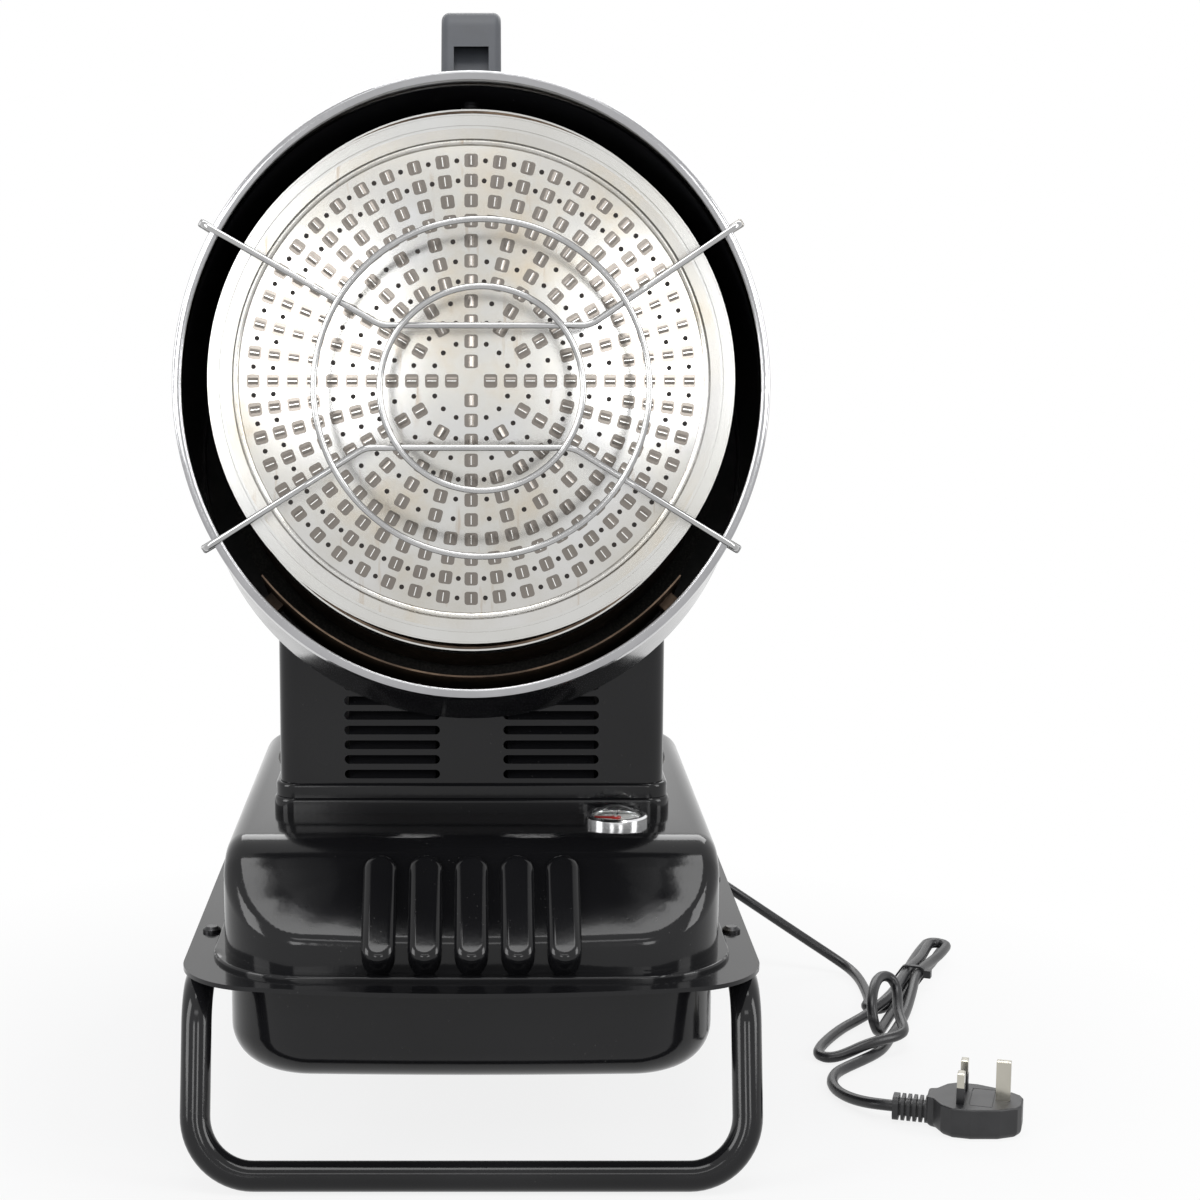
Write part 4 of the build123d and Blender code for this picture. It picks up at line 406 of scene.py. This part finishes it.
def satin_reflector():
    """Plain silver ring with turning marks that run round the mouth."""
    material, tree, shader, place = start_material("reflector_steel")
    about = disc_place(tree, place)
    radius = distance_from_axis(tree, about)
    marks = sums(tree, "SINE", sums(tree, "MULTIPLY", radius, 14.0))
    haze = noise(tree, place, 18.0, 4.0)
    tree.links.new(levels(tree, haze, (0.3, (0.62, 0.62, 0.61)), (0.75, (0.5, 0.49, 0.46))),
                   shader.inputs["Base Color"])
    shader.inputs["Metallic"].default_value = 1.0
    tree.links.new(sums(tree, "MULTIPLY_ADD", haze, 0.12, 0.12), shader.inputs["Roughness"])
    relief(tree, shader, marks, 0.004, 0.2)
    return material


def scorched_steel():
    """Dark steel browned by the flame, with lighter runs and soot."""
    material, tree, shader, place = start_material("scorched_steel")
    soot = noise(tree, place, 30.0, 6.0, 0.65)
    tree.links.new(levels(tree, soot, (0.3, (0.028, 0.022, 0.018)), (0.52, (0.085, 0.058, 0.04)),
                          (0.68, (0.16, 0.115, 0.08)), (0.85, (0.25, 0.2, 0.16))),
                   shader.inputs["Base Color"])
    shader.inputs["Metallic"].default_value = 0.85
    tree.links.new(levels(tree, soot, (0.3, 0.62), (0.8, 0.3)), shader.inputs["Roughness"])
    relief(tree, shader, noise(tree, place, 260.0, 4.0), 0.08, 0.4)
    return material


def cord_sheath():
    """Black flexible sheath, slightly waxy, with the draw marks of its making."""
    settings = bpy.context.scene.heater_finishes
    material, tree, shader, place = start_material("cord_sheath")
    wear = noise(tree, place, 130.0, 4.0)
    colour = settings.cord_colour
    tree.links.new(blended(tree, levels(tree, wear, (0.4, 0.0), (0.8, 1.0)), colour,
                           [c * 1.6 + 0.004 for c in colour]), shader.inputs["Base Color"])
    tree.links.new(sums(tree, "MULTIPLY_ADD", wear, 0.16, 0.24), shader.inputs["Roughness"])
    shader.inputs["Specular IOR Level"].default_value = 0.4
    relief(tree, shader, noise(tree, place, 900.0, 2.0), 0.03, 0.35)
    return material


def clear_dome():
    """Clear polished plastic of the gauge, faintly scratched."""
    material, tree, shader, place = start_material("clear_dome")
    shader.inputs["Base Color"].default_value = (0.97, 0.98, 0.98, 1.0)
    shader.inputs["Transmission Weight"].default_value = 1.0
    shader.inputs["IOR"].default_value = 1.49
    scratch = noise(tree, mapped(tree, place, scale=(0.1, 1.0, 1.0)), 600.0, 2.0)
    tree.links.new(levels(tree, scratch, (0.5, 0.02), (0.8, 0.08)), shader.inputs["Roughness"])
    return material


def plain_speckle(name, colour, roughness, speckle, metallic=0.0, scale=80.0):
    """Painted or fired surface with a fine second tone."""
    material, tree, shader, place = start_material(name)
    tree.links.new(blended(tree, levels(tree, noise(tree, place, scale, 5.0), (0.42, 0.0), (0.66, 1.0)),
                           colour, speckle), shader.inputs["Base Color"])
    shader.inputs["Metallic"].default_value = metallic
    tree.links.new(sums(tree, "MULTIPLY_ADD", noise(tree, place, scale * 4, 2.0), 0.2, roughness - 0.1),
                   shader.inputs["Roughness"])
    relief(tree, shader, noise(tree, place, scale * 8, 2.0), 0.03, 0.3)
    return material


# Mesh helpers


def linked(name, data):
    """Object in the scene for a mesh, curve, lamp or camera."""
    thing = bpy.data.objects.new(name, data)
    bpy.context.scene.collection.objects.link(thing)
    return thing


def mesh_from(name, work):
    """Mesh that holds what a bmesh held."""
    mesh = bpy.data.meshes.new(name)
    work.to_mesh(mesh)
    work.free()
    return mesh


def keep_piece(name, work, material, body, smooth=35.0):
    """Turns a bmesh into a piece that rides on a body, with creases above an angle kept sharp."""
    for face in work.faces:
        face.smooth = True
    limit = math.radians(smooth)
    for edge in work.edges:
        edge.smooth = len(edge.link_faces) == 2 and edge.calc_face_angle(0.0) < limit
    mesh = mesh_from(name, work)
    mesh.materials.append(material)
    piece = linked(name, mesh)
    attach(piece, body)
    return piece


def paint(material, *nodes):
    """Gives CAD nodes a finish as they are."""
    for node in nodes:
        slots = frame["nodes"][node].data.materials
        slots.clear()
        slots.append(material)


def dress(material, *nodes, smooth=32.0):
    """Merged copies of CAD nodes with true creases, which stand for them."""
    for node in nodes:
        work = bmesh.new()
        work.from_mesh(frame["nodes"][node].data)
        bmesh.ops.remove_doubles(work, verts=work.verts, dist=NODE_WELD)
        piece = keep_piece(node + "_finish", work, material, BODY_OF[node], smooth=smooth)
        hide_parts(node)


def dome_height(radius):
    """Rise of the disc's dome at a radius, in millimetres."""
    return math.sqrt(DOME_BALL_R ** 2 - radius ** 2) - DOME_BALL_R + DISC_DOME


def on_disc(ring, degrees, lift):
    """Matrix on the dome of the disc at a ring of louvres, its x outwards and its z away from the dome."""
    radius = CELL_FIRST + ring * CELL_PITCH
    turn = math.radians(degrees)
    outward = ACROSS * math.cos(turn) + UP * math.sin(turn)
    tip = math.asin(radius / DOME_BALL_R)
    normal = OUT * math.cos(tip) + outward * math.sin(tip)
    along = normal.cross(-outward).cross(normal).normalized()
    side = normal.cross(along)
    spot = DISC + (outward * radius + OUT * dome_height(radius) + normal * lift) * MM
    turned = Matrix((along, side, normal)).transposed().to_4x4()
    return Matrix.Translation(spot) @ turned


def repeated(work, template, places):
    """Adds a small mesh to a bmesh at each place."""
    for place in places:
        count = len(work.verts)
        work.from_mesh(template)
        work.verts.ensure_lookup_table()
        bmesh.ops.transform(work, matrix=place, verts=work.verts[count:])


def spun(outline, centre, axis, steps):
    """Ring or plate from an outline of distances out from an axis and along it, in millimetres."""
    work = bmesh.new()
    verts = [work.verts.new(centre + (ACROSS * out + axis * along) * MM) for out, along in outline]
    edges = [work.edges.new(pair) for pair in zip(verts, verts[1:])]
    bmesh.ops.spin(work, geom=verts + edges, cent=centre, axis=axis, angle=2 * math.pi, steps=steps,
                   use_merge=True)
    bmesh.ops.remove_doubles(work, verts=work.verts, dist=SPIN_WELD)
    bmesh.ops.recalc_face_normals(work, faces=work.faces)
    return work


def box_place(middle, size, turned=Matrix.Identity(4)):
    """Matrix that takes a unit cube to a turned box of a size in millimetres."""
    return Matrix.Translation(middle) @ turned @ Matrix.Diagonal((*(side * MM for side in size), 1))


def rounded_box(work, place, radius, segments):
    """Adds the box of a matrix with its edges rounded, radius in millimetres."""
    cube = bmesh.ops.create_cube(work, size=1.0, matrix=place)
    edges = list({edge for vert in cube["verts"] for edge in vert.link_edges})
    bmesh.ops.bevel(work, geom=edges, offset=radius * MM, segments=segments, profile=0.5, affect="EDGES",
                    material=-1)


def rounded_square(work, half, lift, corner):
    """Adds a flat square with rounded corners at a height in millimetres."""
    grid = bmesh.ops.create_grid(work, x_segments=1, y_segments=1, size=half,
                                 matrix=Matrix.Translation((0, 0, lift * MM)))
    bmesh.ops.bevel(work, geom=grid["verts"], offset=corner, segments=3, profile=0.5, affect="VERTICES",
                    material=-1)


def louvre_edge(half):
    """Raised lip round one louvre, with a bar along its middle; both carry a painted highlight in near-white
    steel.
    """
    work = bmesh.new()
    rounded_square(work, half, -0.25, half * 0.4)
    work.faces.ensure_lookup_table()
    face = work.faces[0]
    for step_in, step_up in ((0.15, 0.85), (0.4, 0.1), (0.15, -0.6)):
        bmesh.ops.inset_region(work, faces=[face], thickness=step_in * MM)
        bmesh.ops.translate(work, verts=list(face.verts), vec=(0, 0, step_up * MM))
    bmesh.ops.delete(work, geom=[face], context="FACES_ONLY")
    bar = Matrix.Diagonal((half * 1.5, 0.42 * MM, 0.5 * MM, 1))
    bmesh.ops.create_cube(work, size=1.0, matrix=Matrix.Translation((0, 0, 0.42 * MM)) @ bar)
    return work


def louvre_slope(half):
    """Sloping sides of one louvre in painted shade, on a flat sheet a little wider than it that is a painted
    shadow outline.
    """
    work = bmesh.new()
    # Flat sheet wider than the louvre: a dark outline painted as its shadow on the plate
    rounded_square(work, half + 0.35 * MM, 0.06, half * 0.45)
    middle = 0.15 * MM
    block = Matrix.Diagonal((half * 1.7, half * 1.7, 0.7 * MM, 1))
    roof = bmesh.ops.create_cube(work, size=1.0, matrix=Matrix.Translation((0, 0, middle)) @ block)
    crest = [vert for vert in roof["verts"] if vert.co.z > middle]
    bmesh.ops.scale(work, vec=(1.0, 0.12, 1.0), verts=crest)
    return work


class HeaterFinishes(bpy.types.PropertyGroup):
    """Colours and sizes that a user may change before the pieces are made."""

    enamel_colour: bpy.props.FloatVectorProperty(
        name="Enamel", description="Colour of the gloss enamel", subtype="COLOR", size=3,
        default=(0.004, 0.004, 0.0045), min=0.0, max=1.0)
    enamel_roughness: bpy.props.FloatProperty(
        name="Enamel roughness", description="Blur of the enamel's reflections", subtype="FACTOR",
        default=0.09, min=0.0, max=1.0)
    handle_colour: bpy.props.FloatVectorProperty(
        name="Handle", description="Colour of the carrying handle", subtype="COLOR", size=3,
        default=(0.022, 0.025, 0.031), min=0.0, max=1.0)
    cord_colour: bpy.props.FloatVectorProperty(
        name="Lead", description="Colour of the mains lead", subtype="COLOR", size=3,
        default=(0.008, 0.008, 0.009), min=0.0, max=1.0)
    pointer_colour: bpy.props.FloatVectorProperty(
        name="Pointer", description="Colour of the gauge pointer", subtype="COLOR", size=3,
        default=(0.62, 0.02, 0.015), min=0.0, max=1.0)
    hole_radius: bpy.props.FloatProperty(
        name="Air holes", description="Radius of the small holes between the louvres",
        subtype="DISTANCE", unit="LENGTH", default=1.25 * MM, min=0.2 * MM, max=2.0 * MM)
    cell_width: bpy.props.FloatProperty(
        name="Louvre width", description="Width across each pressed louvre",
        subtype="DISTANCE", unit="LENGTH", default=6.0 * MM, min=4.5 * MM, max=7.0 * MM)


class HEATER_OT_camera(bpy.types.Operator):
    """Set the camera at the photograph's viewing angle"""

    bl_idname = "heater.camera"
    bl_label = "Camera"

    def execute(self, context):
        lens = bpy.data.cameras.new("photo_camera")
        lens.lens = CAMERA_LENS
        lens.sensor_width = CAMERA_SENSOR
        lens.shift_x = CAMERA_SHIFT
        lens.clip_start = 0.05
        lens.clip_end = 50.0
        camera = linked("photo_camera", lens)
        camera.location = CAMERA_PLACE
        camera.rotation_euler = (math.radians(90.0 - CAMERA_DIP), 0, 0)
        context.scene.camera = camera
        return {"FINISHED"}


class HEATER_OT_stage(bpy.types.Operator):
    """Lay the pale floor and light it softly"""

    bl_idname = "heater.stage"
    bl_label = "Stage and lights"

    def execute(self, context):
        work = bmesh.new()
        bmesh.ops.create_grid(work, x_segments=8, y_segments=8, size=FLOOR_HALF,
                              matrix=Matrix.Translation(FLOOR_MIDDLE))
        mesh = mesh_from("studio_floor", work)
        floor = linked("studio_floor", mesh)
        material, tree, shader, place = start_material("studio_floor")
        shader.inputs["Roughness"].default_value = 0.9
        shader.inputs["Specular IOR Level"].default_value = 0.05
        paper = tree.nodes.new("ShaderNodeEmission")
        paper.inputs["Strength"].default_value = 1.0
        # Away from the heater the floor shows white of its own, and its lit tone falls
        reach = sums(tree, "DIVIDE", distance_from_axis(tree, place), FLOOR_REACH)
        tree.links.new(levels(tree, reach, (0.3, 0.5), (0.6, 0.05)), shader.inputs["Base Color"])
        fade = levels(tree, reach, (0.16, 0.84), (0.34, 1.0))
        amount = sums(tree, "MULTIPLY", background_rays(tree), fade)
        output = next(node for node in tree.nodes if node.type == "OUTPUT_MATERIAL")
        tree.links.new(joined(tree, amount, shader.outputs["BSDF"], paper.outputs["Emission"]),
                       output.inputs["Surface"])
        mesh.materials.append(material)

        world = bpy.data.worlds.new("studio")
        context.scene.world = world
        world.use_nodes = True
        tree = world.node_tree
        tree.nodes.clear()
        output = tree.nodes.new("ShaderNodeOutputWorld")
        white = tree.nodes.new("ShaderNodeBackground")
        white.inputs["Color"].default_value = (1, 1, 1, 1)
        white.inputs["Strength"].default_value = 1.0
        room = tree.nodes.new("ShaderNodeBackground")
        room.inputs["Color"].default_value = (0.46, 0.47, 0.5, 1)
        tree.links.new(joined(tree, background_rays(tree), room.outputs["Background"],
                              white.outputs["Background"]), output.inputs["Surface"])

        for name, place, width, height, power in LAMPS:
            lamp = bpy.data.lights.new(name, "AREA")
            lamp.shape = "RECTANGLE"
            lamp.size, lamp.size_y = width, height
            lamp.energy = power
            light = linked(name, lamp)
            light.location = place
            light.rotation_euler = (LAMP_AIM - Vector(place)).to_track_quat("-Z", "Y").to_euler()
        context.scene.view_settings.view_transform = "Standard"
        return {"FINISHED"}


class HEATER_OT_mains_lead(bpy.types.Operator):
    """Lay the mains lead from its gland, through the tied hank, to the plug, and finish what is on it"""

    bl_idname = "heater.mains_lead"
    bl_label = "Mains lead"

    def execute(self, context):
        curve = bpy.data.curves.new("mains_lead", "CURVE")
        curve.dimensions = "3D"
        curve.resolution_u = 7
        curve.bevel_depth = CORD_R * MM
        curve.bevel_resolution = 4
        curve.use_fill_caps = True
        spline = curve.splines.new("NURBS")
        spline.points.add(len(CORD_ROUTE) - 1)
        for point, (x, y, z) in zip(spline.points, CORD_ROUTE):
            point.co = (x * MM, y * MM, z * MM, 1.0)
        spline.order_u = 3
        spline.use_endpoint_u = True
        lead = linked("mains_lead", curve)
        curve.materials.append(cord_sheath())
        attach(lead, "heater")
        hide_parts("cord_lead", "cord_hank", "cord_tail")
        moulded = moulded_plastic("plug_plastic", (0.006, 0.006, 0.007), 0.45, 0.05)
        paint(moulded, "plug_body", "cord_tie", "cord_gland")
        return {"FINISHED"}


class HEATER_OT_plug_pins(bpy.types.Operator):
    """Plate the pins and sleeve the two live ones"""

    bl_idname = "heater.plug_pins"
    bl_label = "Plug pins"

    def execute(self, context):
        paint(bright_chrome("pin_brass", 0.2, (0.5, 0.48, 0.42)), "plug_pins")
        tail_end = Vector(CORD_ROUTE[-1]) * MM
        line = (tail_end - Vector(CORD_ROUTE[-2]) * MM).normalized()
        side = Vector((-line.y, line.x, 0))
        work = bmesh.new()
        for aside in (-SLEEVE_ASIDE, SLEEVE_ASIDE):
            middle = tail_end + (line * SLEEVE_AHEAD + side * aside) * MM
            middle.z = SLEEVE_HEIGHT * MM
            turned = Matrix((line, side, Vector((0, 0, 1)))).transposed().to_4x4()
            rounded_box(work, box_place(middle, SLEEVE_SIZE, turned), SLEEVE_ROUND, 2)
        keep_piece("pin_sleeves", work, moulded_plastic("sleeve_plastic", (0.01, 0.01, 0.011), 0.35),
                   "heater")
        return {"FINISHED"}


class HEATER_OT_enamelled_body(bpy.types.Operator):
    """Enamel the tank, stand, housing and drum, and lay gauze behind the slots of the drum's back"""

    bl_idname = "heater.enamelled_body"
    bl_label = "Enamelled body"

    def execute(self, context):
        enamel = gloss_enamel()
        dress(enamel, "tank_lower_shell", "tank_upper_shell", "front_stand", "rear_stand",
              "housing_shell", "housing_cover", "rear_panel")
        dress(gloss_enamel("drum_enamel", 0.4), "drum_shell")
        dress(plain_speckle("duct_paint", (0.006, 0.006, 0.006), 0.8, (0.014, 0.013, 0.012)),
              "drum_back", "air_duct")
        outline = [(GAUZE_INNER_R, 0.0), (GAUZE_OUTER_R, 0.0), (GAUZE_OUTER_R, GAUZE_WALL),
                   (GAUZE_INNER_R, GAUZE_WALL), (GAUZE_INNER_R, 0.0)]
        work = spun(outline, MOUTH - DRUM_AXIS * GAUZE_DEPTH * MM, DRUM_AXIS, 72)
        keep_piece("slot_gauze", work, plain_speckle("gauze_steel", (0.008, 0.007, 0.006), 0.7,
                                                     (0.03, 0.028, 0.025), 0.4, 900.0),
                   "heater")
        return {"FINISHED"}


class HEATER_OT_radiating_face(bpy.types.Operator):
    """Make the disc's plate, its louvres in painted highlight and shade, and dark discs painted as the shade
    of its air holes, and finish the steel round it
    """

    bl_idname = "heater.radiating_face"
    bl_label = "Radiating face"

    def execute(self, context):
        settings = context.scene.heater_finishes
        radii = [DISC_R * step / DOME_STEPS for step in range(DOME_STEPS + 1)]
        dome = [(radius, dome_height(radius)) for radius in radii]
        flange = [(DISC_FLANGE_R, 0.0), (DISC_FLANGE_R, -DISC_WALL)]
        under = [(radius, height - DISC_WALL) for radius, height in reversed(dome)]
        work = spun(dome + BEAD + flange + under, DISC, OUT, 144)
        plate = keep_piece("disc_plate", work, heated_disc(), "heater", smooth=50.0)
        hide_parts("radiating_disc")
        dress(satin_reflector(), "reflector_ring", "chamber_collar")
        dress(scorched_steel(), "combustion_chamber", "heat_shield", "burner_tube", "air_diffuser")

        half = settings.cell_width / 2
        places = [on_disc(ring, step * 360.0 / count, 0.02)
                  for ring, count in enumerate(CELL_COUNTS) for step in range(count)]
        # Lit and shaded copies of the disc's steel: the lips and middle bars in near-white steel are a
        # painted highlight, and the slopes and the outline under them in dark steel are painted shade
        for name, shape, finish in (
                ("louvre_edges", louvre_edge(half),
                 bright_chrome("louvre_edge_painted_highlight", 0.16, (0.95, 0.95, 0.93))),
                ("louvre_slopes", louvre_slope(half),
                 bright_chrome("louvre_slope_painted_shade", 0.16, (0.22, 0.2, 0.18)))):
            work = bmesh.new()
            repeated(work, mesh_from(name + "_shape", shape), places)
            keep_piece(name, work, finish, "heater", smooth=25.0)

        # No holes are cut: flat near-black discs lie just above the plate, painted shade where the air holes
        # would show dark
        hole = bmesh.new()
        bmesh.ops.create_circle(hole, cap_ends=True, segments=12, radius=settings.hole_radius)
        places = [on_disc(ring, step * 360.0 / CELL_COUNTS[ring] + turn, 0.12)
                  for ring, turns in HOLE_TURNS for step in range(CELL_COUNTS[ring]) for turn in turns]
        work = bmesh.new()
        repeated(work, mesh_from("air_hole", hole), places)
        keep_piece("air_hole_shade_discs", work, plain_speckle("air_hole_painted_shade", (0.004, 0.003, 0.003), 0.8,
                                                    (0.02, 0.012, 0.008), scale=900.0),
                   "heater")
        return {"FINISHED"}


class HEATER_OT_bright_trim(bpy.types.Operator):
    """Plate the rim and the wire guard, and make the guard's brackets"""

    bl_idname = "heater.bright_trim"
    bl_label = "Rim and guard"

    def execute(self, context):
        dress(bright_chrome("rim_chrome", 0.1, (0.4, 0.4, 0.41)), "drum_rim")
        dress(bright_chrome("guard_chrome", 0.14, (0.42, 0.42, 0.42)), "wire_guard", smooth=60.0)
        work = bmesh.new()
        for across, up in ((-1, -1), (-1, 1), (1, -1), (1, 1)):
            corner = ACROSS * (BRACKET_ACROSS * across) + UP * (BRACKET_UP * up)
            spoke = corner.normalized()
            middle = MOUTH + (corner - OUT * BRACKET_BACK - spoke * BRACKET_INWARD) * MM
            turned = Matrix((spoke, OUT.cross(spoke), OUT)).transposed().to_4x4()
            rounded_box(work, box_place(middle, BRACKET_SIZE, turned), BRACKET_ROUND, 3)
        clips = keep_piece("guard_brackets", work, zinc_steel("bracket_zinc", (0.3, 0.3, 0.3)), "heater")
        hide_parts("guard_clips")
        return {"FINISHED"}


class HEATER_OT_handle(bpy.types.Operator):
    """Finish the carrying handle"""

    bl_idname = "heater.handle"
    bl_label = "Carrying handle"

    def execute(self, context):
        settings = context.scene.heater_finishes
        dress(moulded_plastic("handle_plastic", settings.handle_colour, 0.55, 0.09, 0.15),
              "carrying_handle", smooth=28.0)
        return {"FINISHED"}


class HEATER_OT_gauge(bpy.types.Operator):
    """Finish the fuel gauge and print its scale"""

    bl_idname = "heater.gauge"
    bl_label = "Fuel gauge"

    def execute(self, context):
        settings = context.scene.heater_finishes
        dress(bright_chrome("gauge_metal", 0.16), "gauge_body")
        dress(clear_dome(), "gauge_lens")
        dress(plain_speckle("dial_paint", (0.78, 0.78, 0.76), 0.5, (0.68, 0.68, 0.66), scale=300.0),
              "gauge_dial")
        red = settings.pointer_colour
        dress(plain_speckle("pointer_red", red, 0.4, [c * 0.8 for c in red], scale=300.0),
              "gauge_pointer")
        low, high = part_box("gauge_dial")
        centre = Vector(((low.x + high.x) / 2, (low.y + high.y) / 2, DIAL_TOP * MM))
        work = bmesh.new()
        for step in range(TICK_GAPS + 1):
            turn = math.radians(SCALE_START - step * SCALE_SWEEP / TICK_GAPS)
            length, width = LONG_TICK if step % 4 == 0 else SHORT_TICK
            middle = centre + Vector((math.cos(turn), math.sin(turn), 0)) * (SCALE_R - length / 2) * MM
            turned = Matrix.Rotation(turn, 4, "Z")
            place = box_place(middle, (length, width, TICK_RISE), turned)
            bmesh.ops.create_cube(work, size=1.0, matrix=place)
        keep_piece("gauge_scale", work, moulded_plastic("scale_ink", (0.01, 0.01, 0.01), 0.6, 0.02),
                   "heater")
        return {"FINISHED"}


class HEATER_OT_filler(bpy.types.Operator):
    """Finish the filler neck, strainer, cap and seal, and the float of the gauge"""

    bl_idname = "heater.filler"
    bl_label = "Filler"

    def execute(self, context):
        dress(zinc_steel("filler_zinc"), "filler_neck")
        dress(moulded_plastic("cap_plastic", (0.012, 0.012, 0.013), 0.4), "filler_cap")
        paint(moulded_plastic("seal_rubber", (0.02, 0.02, 0.02), 0.7), "cap_seal")
        paint(moulded_plastic("float_plastic", (0.55, 0.54, 0.48), 0.5), "filler_strainer", "gauge_float")
        return {"FINISHED"}


class HEATER_OT_rear_controls(bpy.types.Operator):
    """Finish the switch, the knob and the end plugs of the stand, and mark the knob"""

    bl_idname = "heater.rear_controls"
    bl_label = "Rear controls"

    def execute(self, context):
        black = moulded_plastic("control_plastic", (0.013, 0.013, 0.014), 0.4)
        dress(black, "switch_bezel", "power_rocker", "thermostat_knob", "stand_end_plugs")
        work = bmesh.new()
        place = box_place(KNOB_FACE + Vector((0, 0, MARK_RAISED * MM)), MARK_SIZE)
        bmesh.ops.create_cube(work, size=1.0, matrix=place)
        keep_piece("knob_mark", work, plain_speckle("mark_white", (0.8, 0.8, 0.78), 0.5, (0.7, 0.7, 0.68)),
                   "knob")
        return {"FINISHED"}


class HEATER_OT_inner_parts(bpy.types.Operator):
    """Finish the burner, fan, fuel and electrical parts inside, the screws and the drain plug"""

    bl_idname = "heater.inner_parts"
    bl_label = "Inner parts"

    def execute(self, context):
        zinc = zinc_steel()
        paint(zinc, "motor_mount", "nozzle_holder", "motor_shaft", "drain_plug")
        dress(zinc_steel("screw_zinc", (0.06, 0.06, 0.062)),
              "stand_screws", "housing_screws", "handle_screws")
        cast = plain_speckle("cast_metal", (0.3, 0.3, 0.31), 0.4, (0.4, 0.4, 0.41), 0.9)
        dress(cast, "fuel_pump", "fan_motor", "thermostat")
        pale = moulded_plastic("pale_plastic", (0.4, 0.39, 0.34), 0.45)
        dress(pale, "fan_wheel", "fuel_filter", "flame_sensor")
        dress(moulded_plastic("resin", (0.03, 0.028, 0.027), 0.35), "ignition_transformer")
        dress(bright_chrome("copper", 0.22, (0.72, 0.38, 0.24)), "pickup_pipe", "fuel_pipe")
        dress(bright_chrome("brass", 0.2, (0.74, 0.58, 0.28)), "fuel_nozzle")
        paint(plain_speckle("ceramic", (0.82, 0.8, 0.74), 0.4, (0.7, 0.68, 0.62)),
              "ignition_electrodes")
        paint(plain_speckle("board_green", (0.02, 0.12, 0.05), 0.4, (0.05, 0.2, 0.09)),
              "control_board")
        return {"FINISHED"}


OPERATORS = (HEATER_OT_camera, HEATER_OT_stage, HEATER_OT_mains_lead, HEATER_OT_plug_pins,
             HEATER_OT_enamelled_body, HEATER_OT_radiating_face, HEATER_OT_bright_trim, HEATER_OT_handle,
             HEATER_OT_gauge, HEATER_OT_filler, HEATER_OT_rear_controls, HEATER_OT_inner_parts)


class HEATER_PT_panel(bpy.types.Panel):
    """Sidebar panel with the finishes and the steps"""

    bl_label = "Infrared diesel heater"
    bl_space_type = "VIEW_3D"
    bl_region_type = "UI"
    bl_category = "Heater"

    def draw(self, context):
        settings = context.scene.heater_finishes
        for name in HeaterFinishes.__annotations__:
            self.layout.prop(settings, name)
        for operator in OPERATORS:
            self.layout.operator(operator.bl_idname)


def register():
    bpy.utils.register_class(HeaterFinishes)
    bpy.types.Scene.heater_finishes = bpy.props.PointerProperty(type=HeaterFinishes)
    for operator in OPERATORS:
        bpy.utils.register_class(operator)
    bpy.utils.register_class(HEATER_PT_panel)


def unregister():
    bpy.utils.unregister_class(HEATER_PT_panel)
    for operator in reversed(OPERATORS):
        bpy.utils.unregister_class(operator)
    del bpy.types.Scene.heater_finishes
    bpy.utils.unregister_class(HeaterFinishes)


def main():
    """Make every piece."""
    register()
    bpy.ops.heater.camera()
    bpy.ops.heater.stage()
    bpy.ops.heater.mains_lead()
    bpy.ops.heater.plug_pins()
    bpy.ops.heater.enamelled_body()
    bpy.ops.heater.radiating_face()
    bpy.ops.heater.bright_trim()
    bpy.ops.heater.handle()
    bpy.ops.heater.gauge()
    bpy.ops.heater.filler()
    bpy.ops.heater.rear_controls()
    bpy.ops.heater.inner_parts()


if __name__ == "__main__":
    main()
